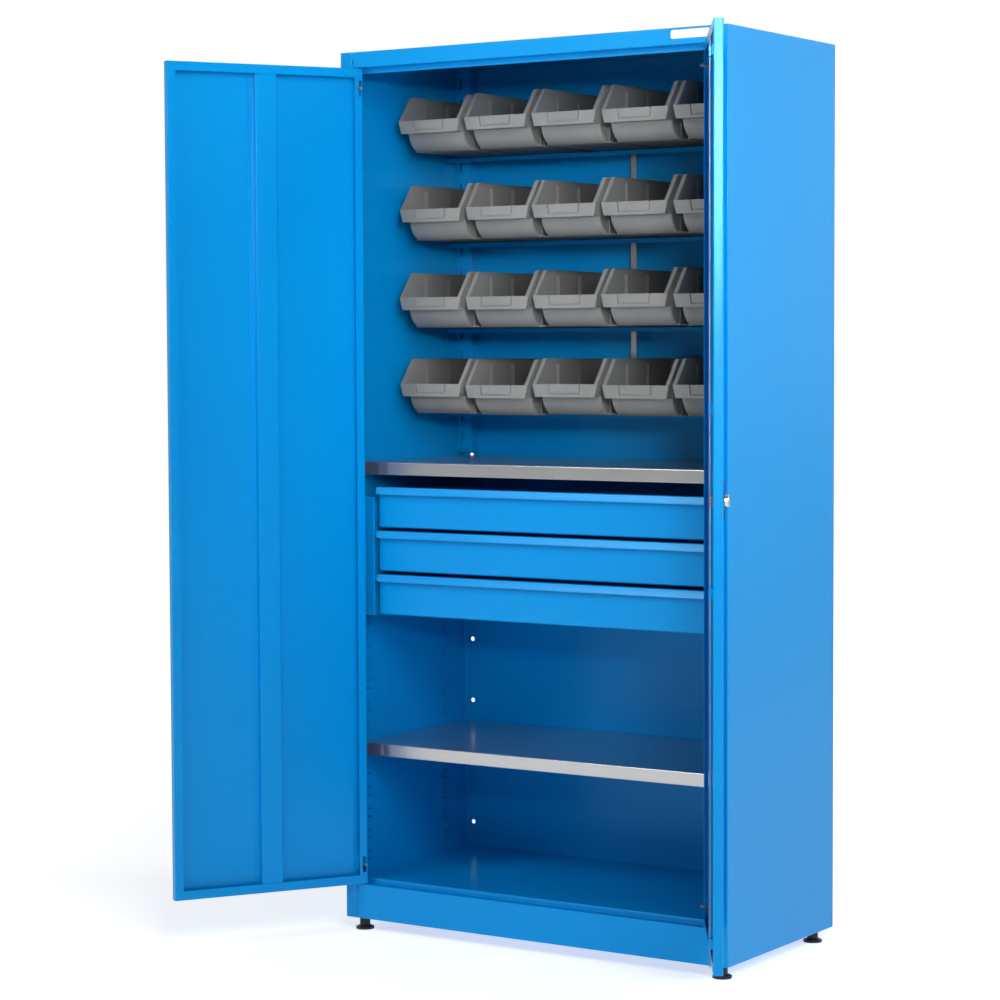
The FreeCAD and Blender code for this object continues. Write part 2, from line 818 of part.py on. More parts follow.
def rod_guides():
    """Bridges on the free-edge lip that hold the two rods."""
    guides = []
    top_end = DOOR_HEIGHT - S.guide_end
    levels = ((1, LOCK_Z + S.guide_lock), (1, top_end), (-1, LOCK_Z - S.guide_lock), (-1, S.guide_end))
    for number, (hand, level) in enumerate(levels, start=1):
        body = new_body(f"rod_guide_{number}", (0, 0, 0))
        centre = S.rod_offset * hand - LOCK_U
        half = S.rod_width / 2 + S.rod_gap
        rise = (level - S.guide_height / 2, level + S.guide_height / 2)
        cap = ROD_BACK + S.rod_gap
        outside = S.guide_setback - FREE_EDGE
        block(body, "Additive", (outside, centre + half + S.guide_cheek),
              (DOOR_INNER, DOOR_INNER + S.guide_foot), rise)
        block(body, "Additive", (centre - half - S.guide_cheek, centre + half + S.guide_cheek),
              (DOOR_INNER, cap + S.guide_cap), rise)
        block(body, "Subtractive", (centre - half, centre + half), (ROD_FRONT - S.rod_gap, cap),
              (rise[0] - S.cut_overrun, rise[1] + S.cut_overrun))
        guides.append(body)
    node = group("lock_rod_guides", guides)
    hinged(node, RIGHT)
    return node


# Shelves

SHELF_HALF = INNER - S.liner_depth - S.shelf_side_gap


def shelf_level(step):
    """The top of a shelf hung a number of slot steps up the liners."""
    return S.slot_base + S.slot_pitch * step + S.shelf_rise


def shelf(label, step):
    """A galvanised tray shelf with its edges turned down."""
    body = new_body(label)
    top = shelf_level(step)
    base = top - S.shelf_edge
    rear = REAR - S.sheet - S.shelf_rear_gap
    path = [
        (S.shelf_setback + S.shelf_return, base),
        (S.shelf_setback, base),
        (S.shelf_setback, top),
        (rear, top),
        (rear, base),
    ]
    folded(body, "YZ_Plane", path, S.shelf_sheet, SHELF_HALF * 2, -1, symmetric=True, points_axis=0)
    for side in SIDES:
        edge = ordered((SHELF_HALF - S.shelf_sheet) * side, SHELF_HALF * side)
        depth = (S.shelf_setback + S.bend, rear - S.bend)
        block(body, "Additive", edge, depth, (base, top - S.shelf_sheet))
    return body


def shelf_clip(number, side, stroke, step):
    """A bent clip: a nub in the slot, a plate on the liner and a ledge under the shelf."""
    body = new_body(f"shelf_clip_{number}", (0, 0, 0))
    base = shelf_level(step) - S.shelf_edge
    slot = S.slot_base + S.slot_pitch * step
    face = S.sheet + S.liner_depth
    middle = stroke + S.slot_stroke / 2
    width = (middle - S.clip_width / 2, middle + S.clip_width / 2)
    head = slot + S.nub_height / 2 + S.clip_sheet
    block(body, "Additive", wall_span(side, face, face + S.clip_sheet), width, (base - S.clip_sheet, head))
    block(body, "Additive", wall_span(side, face, face + S.clip_sheet + S.clip_ledge), width,
          (base - S.clip_sheet, base))
    nub = (stroke + S.nub_play, stroke + S.slot_stroke - S.nub_play)
    rise = (slot - S.nub_height / 2, slot + S.nub_height / 2)
    block(body, "Additive", wall_span(side, face - S.nub_reach, face), nub, rise)
    return body


# Drawer unit

PLATE_X = INNER - S.plate_flange
DRAWER_HALF = PLATE_X - S.slide_space


def drawer_base(number):
    """The underside of a drawer front, counted from the top drawer down."""
    return S.drawer_base + S.drawer_pitch * (DRAWERS - number)


def drawer_plate(side):
    """A side plate of the drawer unit, flanged out to the wall at the front and the rear."""
    body = new_body(f"{side_name(side)}_drawer_plate", (0, 0, 0))
    front = S.drawer_setback
    path = [
        (INNER * side, front),
        (PLATE_X * side, front),
        (PLATE_X * side, S.plate_rear),
        (INNER * side, S.plate_rear),
    ]
    base = S.drawer_base - S.plate_foot
    folded(body, "XY_Plane", path, S.plate_sheet, base + S.plate_height, -side)
    clear = (front - S.cut_overrun, S.plate_rear + S.cut_overrun)
    across = ordered((PLATE_X - S.cut_overrun) * side, HALF * side)
    block(body, "Subtractive", across, clear, (-S.cut_overrun, base))
    return body


def drawer_front(number):
    """A front folded into a pull at its head and a round return at its foot."""
    body = new_body(f"drawer_{number}_front")
    base = drawer_base(number)
    top = base + S.front_height
    plate = S.drawer_setback
    nose = plate - S.grip_reach
    gauge = S.drawer_sheet
    ring = [
        (plate + S.front_return, base),
        (plate, base),
        (plate, top - gauge),
        (nose + gauge, top - gauge),
        (nose + gauge, top - S.grip_height),
        (nose, top - S.grip_height),
        (nose, top),
        (plate + gauge, top),
        (plate + gauge, base + gauge),
        (plate + S.front_return, base + gauge),
    ]
    pad = padded(body, outline(body, "YZ_Plane", ring), DRAWER_HALF * 2, symmetric=True)
    doc.recompute()
    heel = straight_edges(pad, 0, [(plate.value, base.value)])
    pad = rounded(body, pad, heel, S.front_bend)
    hollow = straight_edges(pad, 0, [((plate + gauge).value, (base + gauge).value)])
    pad = rounded(body, pad, hollow, S.front_bend - gauge)
    brow_line = straight_edges(pad, 0, [(nose.value, top.value)])
    pad = rounded(body, pad, brow_line, S.bend)
    foot_line = (top - S.grip_height).value
    tips = straight_edges(pad, 1, [(DRAWER_HALF.value * side, foot_line) for side in SIDES])
    rounded(body, pad, tips, S.grip_corner)
    return body


def drawer_tray(number):
    """The open tray behind a front."""
    body = new_body(f"drawer_{number}_tray")
    half = DRAWER_HALF
    front = S.drawer_setback + S.drawer_sheet
    rear = front + S.tray_depth
    base = drawer_base(number) + S.tray_rise
    top = base + S.tray_height
    gauge = S.drawer_sheet
    block(body, "Additive", (-half, half), (front, rear), (base, top))
    block(body, "Subtractive", (gauge - half, half - gauge), (front + gauge, rear - gauge),
          (base + gauge, top + S.cut_overrun))
    return body


def slide_section(name, number, depths, height, inward):
    """Channel rails of one drawer on both sides: a base strip and two lips between two depths."""
    rails = []
    level = drawer_base(number) + S.slide_level
    near, far = depths
    front = S.drawer_setback + S.drawer_sheet + S.slide_setback
    for side in SIDES:
        body = new_body(f"drawer_{number}_{name}_{side_name(side)}", (0, 0, 0))
        run = (front, front + S.slide_length)
        strip = (near, near - S.slide_sheet) if inward else (far, far + S.slide_sheet)
        half = height / 2
        block(body, "Additive", ordered(strip[0] * side, strip[1] * side), run, (level - half, level + half))
        for low in (level - half, level + half - S.slide_sheet):
            block(body, "Additive", ordered(near * side, far * side), run, (low, low + S.slide_sheet))
        rails.append(body)
    return rails


OUTER_HEIGHT = S.slide_height
MIDDLE_HEIGHT = OUTER_HEIGHT - (S.slide_sheet + S.slide_play) * 2
INNER_HEIGHT = MIDDLE_HEIGHT - (S.slide_sheet + S.slide_play) * 2
MIDDLE_X = PLATE_X - S.slide_inset
INNER_REACH = MIDDLE_X - S.slide_sheet - S.slide_play
LIP_END = DRAWER_HALF + S.slide_lip_gap


# Bin carriers and bins

UPRIGHT_REAR = REAR - S.bend
RAIL_HALF = INNER - S.rail_end_gap
BIN_PITCH = (RAIL_HALF - S.bin_margin) * 2 / BIN_COLUMNS


def bin_upright(side):
    """A slotted channel in a rear corner that carries the bin rails."""
    body = new_body(f"{side_name(side)}_bin_upright", (0, 0, 0))
    inset = S.sheet + S.upright_width
    path = [
        (wall_x(side, S.sheet), UPRIGHT_REAR),
        (wall_x(side, S.sheet), S.upright_setback),
        (wall_x(side, inset), S.upright_setback),
        (wall_x(side, inset), UPRIGHT_REAR),
    ]
    top = S.body_height - S.sheet
    folded(body, "XY_Plane", path, S.upright_sheet, top, -side)
    depth = (S.upright_setback - S.cut_overrun, UPRIGHT_REAR + S.cut_overrun)
    block(body, "Subtractive", wall_span(side, sized(0), inset + S.cut_overrun), depth,
          (-S.cut_overrun, S.upright_base))
    through = S.upright_sheet + S.cut_overrun * 2
    for end in (S.upright_base + S.upright_hole_end, top - S.upright_hole_end):
        for shift in (sized(0), S.upright_hole_spacing):
            point = (wall_x(side, S.upright_hole_inset + shift), S.upright_setback - S.cut_overrun, end)
            round_bar(body, "Subtractive", point, S.upright_hole_diameter, through, ALONG_Y)
    half = S.upright_slot_width / 2
    across = wall_span(side, S.upright_slot_inset - half, S.upright_slot_inset + half)
    face = (S.upright_setback - S.cut_overrun, S.upright_setback + S.upright_sheet + S.cut_overrun)
    slot = block(body, "Subtractive", across, face,
                 (S.upright_slot_base, S.upright_slot_base + S.upright_slot_length))
    repeated(body, [slot], "Z_Axis", S.slot_pitch, S.upright_slot_count)
    return body


def bin_rail(number, base):
    """A folded rail under and behind one row of bins, with feet on the uprights and tie bar."""
    body = new_body(f"bin_rail_{number}", (0, 0, 0))
    seat = base - S.hang_gap
    path = [
        (S.rail_front, seat - S.rail_lip),
        (S.rail_front, seat),
        (S.rail_web, seat),
        (S.rail_web, base + S.rail_rise),
    ]
    folded(body, "YZ_Plane", path, S.rail_sheet, RAIL_HALF * 2, -1, symmetric=True, points_axis=0)
    rise = (base + S.rail_foot_base, base + S.rail_foot_base + S.rail_foot_height)
    depth = (S.rail_web + S.rail_sheet, S.upright_setback)
    plate = (S.upright_setback - S.rail_sheet, S.upright_setback)
    half = RAIL_HALF - S.rail_foot_inset
    starts = (-half, half - S.rail_foot_width, -S.rail_foot_width / 2)
    for start in starts:
        block(body, "Additive", (start, start + S.rail_sheet), depth, rise)
        block(body, "Additive", (start, start + S.rail_foot_width), plate, rise)
    return body


def tie_bar():
    """The galvanised strip that ties the rails together at mid width."""
    body = new_body("centre_tie_bar")
    half = S.tie_width / 2
    rise = (S.bottom_row_base + S.rail_foot_base, S.top_row_base + S.rail_foot_base + S.rail_foot_height)
    block(body, "Additive", (-half, half), (S.upright_setback, S.upright_setback + S.tie_sheet), rise)
    return body


def hanging_bin(row, column, base):
    """An open-fronted moulded bin: shell, rim, lip band and a hook over the rail."""
    lip = S.rail_web - S.hang_gap - S.bin_depth
    centre = BIN_PITCH * (column - (BIN_COLUMNS + 1) / 2)
    body = new_body(f"bin_row{row}_col{column}", (centre, FRONT + lip, S.foot_height + base))
    depth, height, wall = S.bin_depth, S.bin_height, S.bin_wall
    shell = [
        (0, S.lip_top),
        (S.lip_slope, S.lip_bottom),
        (S.front_setback, S.lip_bottom),
        (S.front_toe, 0),
        (depth, 0),
        (depth, height),
        (S.mouth_run, height),
    ]
    padded(body, outline(body, "YZ_Plane", shell, {2: S.front_curve}), S.bin_body, symmetric=True)
    rim = [
        (0, S.lip_top),
        (0, S.lip_top - S.bin_rim),
        (S.mouth_run, height - S.bin_rim),
        (depth, height - S.bin_rim),
        (depth, height),
        (S.mouth_run, height),
    ]
    padded(body, outline(body, "YZ_Plane", rim), S.bin_width, symmetric=True)
    half, low_half = S.bin_width / 2, S.bin_body / 2
    band = [(-low_half, S.lip_bottom), (low_half, S.lip_bottom), (half, S.lip_top), (-half, S.lip_top)]
    padded(body, outline(body, "XZ_Plane", band), S.bin_wall, flipped=True)
    web_top = S.rail_rise + S.hang_gap
    tongue = S.hang_gap * 2 + S.rail_sheet
    hook = [
        (depth - wall, web_top),
        (depth + tongue, web_top),
        (depth + tongue, web_top - S.hook_drop),
        (depth + tongue + S.hook_sheet, web_top - S.hook_drop),
        (depth + tongue + S.hook_sheet, web_top + S.hook_sheet),
        (depth - wall, web_top + S.hook_sheet),
    ]
    padded(body, outline(body, "YZ_Plane", hook), S.hook_width, symmetric=True)
    inside = [
        (wall, height + S.cut_overrun),
        (S.lip_slope + wall, S.lip_bottom + wall),
        (S.front_setback + wall, S.lip_bottom + wall),
        (S.front_toe + wall, wall),
        (depth - wall, wall),
        (depth - wall, height + S.cut_overrun),
    ]
    pocket = body.newObject("PartDesign::Pocket", f"{body.Name}_inside")
    pocket.Profile = outline(body, "YZ_Plane", inside, {2: S.front_curve - wall})
    pocket.SideType = "Symmetric"
    bind(pocket, "Length", S.bin_body - wall * 2)
    return body


def build():
    """Make every node of the cabinet, in order from the shell inwards."""
    nodes = [side_panel(side) for side in SIDES]
    nodes += [back_panel(), top_panel(), bottom_panel()]
    nodes.append(group("slotted_liners", [slotted_liner(side) for side in SIDES]))
    depths = (S.front_foot_setback, S.body_depth - S.rear_foot_setback)
    spots = [(side, depth) for side in SIDES for depth in depths]
    feet = [foot(number, *spot) for number, spot in enumerate(spots, start=1)]
    nodes.append(group("levelling_feet", feet))
    for side in SIDES:
        nodes += [door(side), stiffener(side), hinge_pins(side)]
    nodes += [lock_escutcheon(), lock_case(), lock_knob(), lock_cam()]
    nodes += [lock_rod(1), lock_rod(-1), rod_guides()]
    steps = (S.upper_shelf_step, S.lower_shelf_step)
    nodes += [shelf("upper_shelf", steps[0]), shelf("lower_shelf", steps[1])]
    strokes = (S.front_slot_setback, S.rear_slot_setback)
    hung = [(side, stroke, step) for step in steps for side in SIDES for stroke in strokes]
    clips = [shelf_clip(number, *spot) for number, spot in enumerate(hung, start=1)]
    nodes.append(group("shelf_clips", clips))
    nodes.append(group("drawer_unit_sides", [drawer_plate(side) for side in SIDES]))
    outer_rails = []
    for number in range(1, DRAWERS + 1):
        nodes += [drawer_front(number), drawer_tray(number)]
        outer_rails += slide_section("outer", number, (PLATE_X, LIP_END), OUTER_HEIGHT, True)
        middle = slide_section("middle", number, (MIDDLE_X, LIP_END), MIDDLE_HEIGHT, True)
        inner = slide_section("inner", number, (INNER_REACH, DRAWER_HALF), INNER_HEIGHT, False)
        nodes.append(group(f"drawer_{number}_slide_middles", middle))
        nodes.append(group(f"drawer_{number}_slide_inners", inner))
    nodes.append(group("slide_outer_rails", outer_rails))
    nodes.append(group("bin_uprights", [bin_upright(side) for side in SIDES]))
    bases = (S.top_row_base, S.second_row_base, S.third_row_base, S.bottom_row_base)
    nodes.append(group("bin_rails", [bin_rail(row, base) for row, base in enumerate(bases, start=1)]))
    nodes.append(tie_bar())
    for row, base in enumerate(bases, start=1):
        for column in range(1, BIN_COLUMNS + 1):
            nodes.append(hanging_bin(row, column, base))
    return nodes


def write(nodes):
    """Check every object and node, then write one file per node."""
    doc.recompute()
    for item in doc.Objects:
        if {"Invalid", "Error"} & set(item.State):
            raise RuntimeError(f"{item.Name} failed: {item.State}")
    for node in nodes:
        if node.Shape.isNull() or not node.Shape.isValid() or not node.Shape.Solids:
            raise RuntimeError(f"{node.Label} has no valid solid")
    os.makedirs("parts", exist_ok=True)
    for node in nodes:
        node.Shape.exportStep(f"parts/{node.Label}.step")
    print(f"{len(nodes)} nodes, {sum(len(node.Shape.Solids) for node in nodes)} solids")


write(build())
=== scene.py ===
"""Looks of a steel materials cabinet: its finishes, its moulded bins, the studio and the camera."""

import json
import logging
import math
from dataclasses import dataclass
from enum import Enum
from typing import Any, Mapping, Sequence, Union

import bmesh
import bpy
import numpy as np
from mathutils import Matrix, Vector


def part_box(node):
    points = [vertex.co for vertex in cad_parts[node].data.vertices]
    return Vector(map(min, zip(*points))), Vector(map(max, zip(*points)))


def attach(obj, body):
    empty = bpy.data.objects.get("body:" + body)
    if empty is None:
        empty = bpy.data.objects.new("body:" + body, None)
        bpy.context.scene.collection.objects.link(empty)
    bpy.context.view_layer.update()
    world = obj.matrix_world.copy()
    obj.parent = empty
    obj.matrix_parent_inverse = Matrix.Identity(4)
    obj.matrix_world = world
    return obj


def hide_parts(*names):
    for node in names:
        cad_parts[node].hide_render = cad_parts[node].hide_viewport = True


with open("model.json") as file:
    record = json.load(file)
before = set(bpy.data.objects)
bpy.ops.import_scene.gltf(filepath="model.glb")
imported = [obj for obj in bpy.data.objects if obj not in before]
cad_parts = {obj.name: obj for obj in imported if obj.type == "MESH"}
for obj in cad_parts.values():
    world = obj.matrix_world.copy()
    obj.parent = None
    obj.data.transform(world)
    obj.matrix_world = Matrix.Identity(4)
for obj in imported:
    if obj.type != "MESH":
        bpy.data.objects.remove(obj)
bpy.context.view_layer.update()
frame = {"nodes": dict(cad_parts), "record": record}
LOG = logging.getLogger("materials_cabinet")

Colour = tuple[float, float, float]
Span = tuple[float, float]
Place = tuple[float, float, float]
Feed = Union["Field", float, Sequence[float]]

WHITE: Colour = (1.0, 1.0, 1.0)
NOISE_MEAN = 0.5
CREASE_DEG = 32.0
WELD_DISTANCE = 1e-6
X_AXIS, Y_AXIS, Z_AXIS = np.eye(3)


class Slot(Enum):
    """The record's material slots."""

    BLUE = "blue_powder_coat"
    GALVANISED = "galvanised_sheet"
    ZINC = "zinc_steel"
    GREY = "grey_plastic"
    BLACK = "black_plastic"
    BRIGHT = "bright_metal"


# Shader expressions


class Field:
    """One output socket of a node tree; arithmetic on it adds Math nodes."""

    MIX_INPUTS = {"factor": 0, "a": 6, "b": 7}
    MIX_OUTPUT = 2

    def __init__(self, tree: bpy.types.NodeTree, socket: bpy.types.NodeSocket) -> None:
        """Wrap a socket of a node tree."""
        self.tree = tree
        self.socket = socket

    def node(self, kind: str, settings: Mapping[str, Any], feeds: Mapping[Union[str, int], Feed],
             out: Union[str, int] = 0) -> "Field":
        """Add one node.

        Args:
            kind: The node's type.
            settings: Properties that are set first.
            feeds: Values or fields for the node's inputs.
            out: The output that is wanted.

        Returns:
            That output.
        """
        made = self.tree.nodes.new(kind)
        for name, setting in settings.items():
            setattr(made, name, setting)
        for name, feed in feeds.items():
            if isinstance(feed, Field):
                self.tree.links.new(feed.socket, made.inputs[name])
            else:
                made.inputs[name].default_value = feed
        return Field(self.tree, made.outputs[out])

    def maths(self, operation: str, first: Feed, second: Feed) -> "Field":
        """One Math node on two numbers or fields."""
        return self.node("ShaderNodeMath", {"operation": operation}, {0: first, 1: second})

    def __add__(self, other: Feed) -> "Field":
        """Sum."""
        return self.maths("ADD", self, other)

    def __radd__(self, other: Feed) -> "Field":
        """Sum with a number on the left."""
        return self.maths("ADD", other, self)

    def __sub__(self, other: Feed) -> "Field":
        """Difference."""
        return self.maths("SUBTRACT", self, other)

    def __rsub__(self, other: Feed) -> "Field":
        """Difference from a number on the left."""
        return self.maths("SUBTRACT", other, self)

    def __mul__(self, other: Feed) -> "Field":
        """Product."""
        return self.maths("MULTIPLY", self, other)

    def __rmul__(self, other: Feed) -> "Field":
        """Product with a number on the left."""
        return self.maths("MULTIPLY", other, self)

    def larger(self, other: Feed) -> "Field":
        """The larger of the two."""
        return self.maths("MAXIMUM", self, other)

    def mixed(self, other: "Field", share: float) -> "Field":
        """This field by a share and the other by the rest."""
        return self * share + other * (1 - share)

    def swing(self, amount: float) -> "Field":
        """This noise about its mean, times an amount."""
        return (self - NOISE_MEAN) * amount

    def band(self, low: float, high: float) -> "Field":
        """0 below low, 1 above high and a smooth step between."""
        feeds = {"Value": self, "From Min": low, "From Max": high}
        return self.node("ShaderNodeMapRange", {"interpolation_type": "SMOOTHSTEP"}, feeds)

    def blend(self, first: Feed, second: Feed) -> "Field":
        """Mix two colours by this field.

        Args:
            first: The colour where this field is 0.
            second: The colour where this field is 1.

        Returns:
            The mixed colour.
        """
        settings = {"data_type": "RGBA", "clamp_factor": True}
        names = self.MIX_INPUTS
        feeds = {names["factor"]: self, names["a"]: tint(first), names["b"]: tint(second)}
        return self.node("ShaderNodeMix", settings, feeds, self.MIX_OUTPUT)

    def along(self, axis: str) -> "Field":
        """This vector's part along the axis X, Y or Z."""
        return self.node("ShaderNodeSeparateXYZ", {}, {"Vector": self}, axis)

    def length(self) -> "Field":
        """This vector's length."""
        return self.node("ShaderNodeVectorMath", {"operation": "LENGTH"}, {0: self}, "Value")

    def stretched(self, scale: Sequence[float]) -> "Field":
        """This vector times a scale along each axis."""
        return self.node("ShaderNodeMapping", {}, {"Vector": self, "Scale": scale})

    def noise(self, size: float, detail: float, roughness: float = 0.5) -> "Field":
        """Noise on this vector whose spots are about size metres across."""
        feeds = {"Vector": self, "Scale": 1 / size, "Detail": detail, "Roughness": roughness}
        return self.node("ShaderNodeTexNoise", {}, feeds)

    def bump(self, depth: float) -> "Field":
        """A normal from this height, with the full height depth metres."""
        return self.node("ShaderNodeBump", {}, {"Height": self, "Distance": depth}, "Normal")

    def ray(self, kind: str) -> "Field":
        """1 for rays of a kind that Light Path names, and 0 for the rest."""
        return self.node("ShaderNodeLightPath", {}, {}, f"Is {kind} Ray")


def tint(feed: Feed) -> Feed:
    """A plain colour with its alpha, or a field as it is."""
    return feed if isinstance(feed, Field) else (*feed, 1)


def dimmed(colour: Colour, share: float) -> Colour:
    """A share of a colour."""
    return tuple(share * part for part in colour)


class Shader:
    """A material with one Principled surface, fed by fields."""

    def __init__(self, name: str) -> None:
        """Make the material and its Object coordinates.

        Args:
            name: The material's name.
        """
        self.material = bpy.data.materials.new(name)
        self.material.use_nodes = True
        self.tree = self.material.node_tree
        self.surface = self.tree.nodes["Principled BSDF"]
        coordinates = self.tree.nodes.new("ShaderNodeTexCoord")
        self.place = Field(self.tree, coordinates.outputs["Object"])

    def feed(self, **inputs: Feed) -> bpy.types.Material:
        """Set or link the surface's inputs.

        Args:
            **inputs: Values or fields by the input's name, with underscores for spaces.

        Returns:
            The material.
        """
        for name, feed in inputs.items():
            socket = self.surface.inputs[name.replace("_", " ")]
            if isinstance(feed, Field):
                self.tree.links.new(feed.socket, socket)
            elif name == "Base_Color":
                socket.default_value = tint(feed)
            else:
                socket.default_value = feed
        return self.material


# Finishes


@dataclass(frozen=True)
class PowderCoat:
    """Baked powder paint: an even colour, slow clouds in its gloss and a fine orange peel."""

    name: str
    colour: Colour
    deep: Colour
    roughness: float = 0.24
    gloss_swing: float = 0.08
    specular: float = 0.5
    sheen: Colour = (0.3, 0.72, 1.0)
    cloud_size: float = 0.35
    cloud_share: float = 0.7
    colour_span: Span = (0.25, 0.75)
    peel_size: float = 0.0032
    peel_share: float = 0.8
    peel_depth: float = 0.00006
    grain_size: float = 0.0009

    def material(self) -> bpy.types.Material:
        """Build the paint.

        Returns:
            The material.
        """
        paint = Shader(self.name)
        cloud = paint.place.noise(self.cloud_size, detail=3.0)
        peel = paint.place.noise(self.peel_size, detail=1.0)
        grain = paint.place.noise(self.grain_size, detail=1.0)
        mottle = cloud.mixed(grain, self.cloud_share).band(*self.colour_span)
        height = peel.mixed(grain, self.peel_share)
        return paint.feed(
            Base_Color=mottle.blend(self.deep, self.colour),
            Roughness=self.roughness + cloud.swing(self.gloss_swing) + grain.swing(self.gloss_swing),
            Normal=height.bump(self.peel_depth),
            Specular_IOR_Level=self.specular,
            Specular_Tint=tint(self.sheen),
        )


@dataclass(frozen=True)
class GalvanisedSheet:
    """Hot-dip zinc: small crystals of differing gloss and fine streaks, upright or to the back."""

    name: str
    colour: Colour
    dark: Colour
    metallic: float = 0.9
    roughness: float = 0.2
    gloss_swing: float = 0.012
    crystal_size: float = 0.006
    crystal_share: float = 0.06
    streak_size: float = 0.0022
    streak_length: float = 0.06
    streak_share: float = 0.3
    streak_depth: float = 0.0000004
    cloud_size: float = 0.12

    def material(self) -> bpy.types.Material:
        """Build the sheet.

        Returns:
            The material.
        """
        sheet = Shader(self.name)
        feeds = {"Vector": sheet.place, "Scale": 1 / self.crystal_size, "Randomness": 1.0}
        crystals = sheet.place.node("ShaderNodeTexVoronoi", {"feature": "F1"}, feeds, "Color")
        facet = crystals.node("ShaderNodeSeparateColor", {}, {"Color": crystals}, "Red")
        slim = self.streak_size / self.streak_length
        streak = sheet.place.stretched((1, slim, slim)).noise(self.streak_size, detail=2.0)
        cloud = sheet.place.noise(self.cloud_size, detail=2.0)
        cloud_share = 1 - self.crystal_share - self.streak_share
        pale = facet * self.crystal_share + streak * self.streak_share + cloud * cloud_share
        return sheet.feed(
            Base_Color=pale.blend(self.dark, self.colour),
            Metallic=self.metallic,
            Roughness=self.roughness + facet.swing(self.gloss_swing) + streak.swing(self.gloss_swing),
            Normal=streak.bump(self.streak_depth),
        )


@dataclass(frozen=True)
class ZincPlate:
    """Electro-plated zinc gone dull, with a soft cloudy haze."""

    name: str
    colour: Colour
    dull: Colour
    roughness: float = 0.6
    haze_size: float = 0.02
    haze_roughness: float = 0.6
    haze_span: Span = (0.3, 0.7)
    haze_swing: float = 0.2
    grain_size: float = 0.0012
    grain_swing: float = 0.1
    grain_depth: float = 0.00002

    def material(self) -> bpy.types.Material:
        """Build the plating.

        Returns:
            The material.
        """
        plate = Shader(self.name)
        haze = plate.place.noise(self.haze_size, detail=4.0, roughness=self.haze_roughness)
        grain = plate.place.noise(self.grain_size, detail=2.0)
        return plate.feed(
            Base_Color=haze.band(*self.haze_span).blend(self.dull, self.colour),
            Metallic=1.0,
            Roughness=self.roughness + haze.swing(self.haze_swing) + grain.swing(self.grain_swing),
            Normal=grain.bump(self.grain_depth),
        )


@dataclass(frozen=True)
class MouldedPlastic:
    """Moulded plastic: spark-eroded grain, faint flow marks, polished scuffs and painted shade darker
    towards the back.
    """

    name: str
    colour: Colour
    dark: Colour
    roughness: float = 0.5
    specular: float = 0.4
    flow_size: float = 0.07
    flow_roughness: float = 0.55
    flow_share: float = 0.75
    flow_span: Span = (0.3, 0.7)
    flow_swing: float = 0.12
    grain_size: float = 0.0011
    grain_swing: float = 0.1
    grain_depth: float = 0.00005
    scuff_size: float = 0.004
    scuff_slimness: float = 0.12
    scuff_span: Span = (0.62, 0.72)
    scuff_polish: float = 0.08
    # Painted shade: the base colour darkens towards the back of the cabinet (world Y over the span
    # below) by this share, to a dimmed dark colour.
    depth_shade_share: float = 0.0
    depth_shade_span: Span = (0.12, 0.32)
    depth_shade_light: float = 0.3

    def material(self) -> bpy.types.Material:
        """Build the plastic.

        Returns:
            The material.
        """
        plastic = Shader(self.name)
        flow = plastic.place.noise(self.flow_size, detail=3.0, roughness=self.flow_roughness)
        grain = plastic.place.noise(self.grain_size, detail=2.0)
        slim = plastic.place.stretched((1, self.scuff_slimness, 1))
        scuff = slim.noise(self.scuff_size, detail=2.0).band(*self.scuff_span)
        marks = flow.mixed(grain, self.flow_share).band(*self.flow_span)
        # Painted shade: a mask that rises towards the back (world Y), standing for the shade deep inside
        # the bins.
        depth_shade = plastic.place.along("Y").band(*self.depth_shade_span) * self.depth_shade_share
        unshaded = marks.blend(self.dark, self.colour)
        rough = self.roughness + flow.swing(self.flow_swing) + grain.swing(self.grain_swing)
        return plastic.feed(
            # The base colour is darkened by the painted shade mask towards the back.
            Base_Color=depth_shade.blend(unshaded, dimmed(self.dark, self.depth_shade_light)),
            Roughness=rough - scuff * self.scuff_polish,
            Normal=grain.bump(self.grain_depth),
            Specular_IOR_Level=self.specular,
        )


@dataclass(frozen=True)
class PolishedMetal:
    """Polished nickel with upright hairline marks."""

    name: str
    colour: Colour
    roughness: float = 0.16
    hair_size: float = 0.0006
    hair_slimness: float = 0.05
    hair_span: Span = (0.3, 0.7)
    hair_swing: float = 0.12
    hair_light: float = 0.82

    def material(self) -> bpy.types.Material:
        """Build the metal.

        Returns:
            The material.
        """
        metal = Shader(self.name)
        slim = metal.place.stretched((1, 1, self.hair_slimness))
        hair = slim.noise(self.hair_size, detail=2.0)
        dim = dimmed(self.colour, self.hair_light)
        return metal.feed(
            Base_Color=hair.band(*self.hair_span).blend(dim, self.colour),
            Metallic=1.0,
            Roughness=self.roughness + hair.swing(self.hair_swing),
        )


@dataclass(frozen=True)
class Enamel:
    """A plain enamelled plate with a trace of dust."""

    name: str
    colour: Colour
    roughness: float = 0.3
    dust_size: float = 0.006
    dust_light: float = 0.93
    dust_haze: float = 0.1

    def material(self) -> bpy.types.Material:
        """Build the enamel.

        Returns:
            The material.
        """
        enamel = Shader(self.name)
        dust = enamel.place.noise(self.dust_size, detail=3.0)
        return enamel.feed(
            Base_Color=dust.blend(self.colour, dimmed(self.colour, self.dust_light)),
            Roughness=self.roughness + dust * self.dust_haze,
        )


Finish = Union[PowderCoat, GalvanisedSheet, ZincPlate, MouldedPlastic, PolishedMetal]

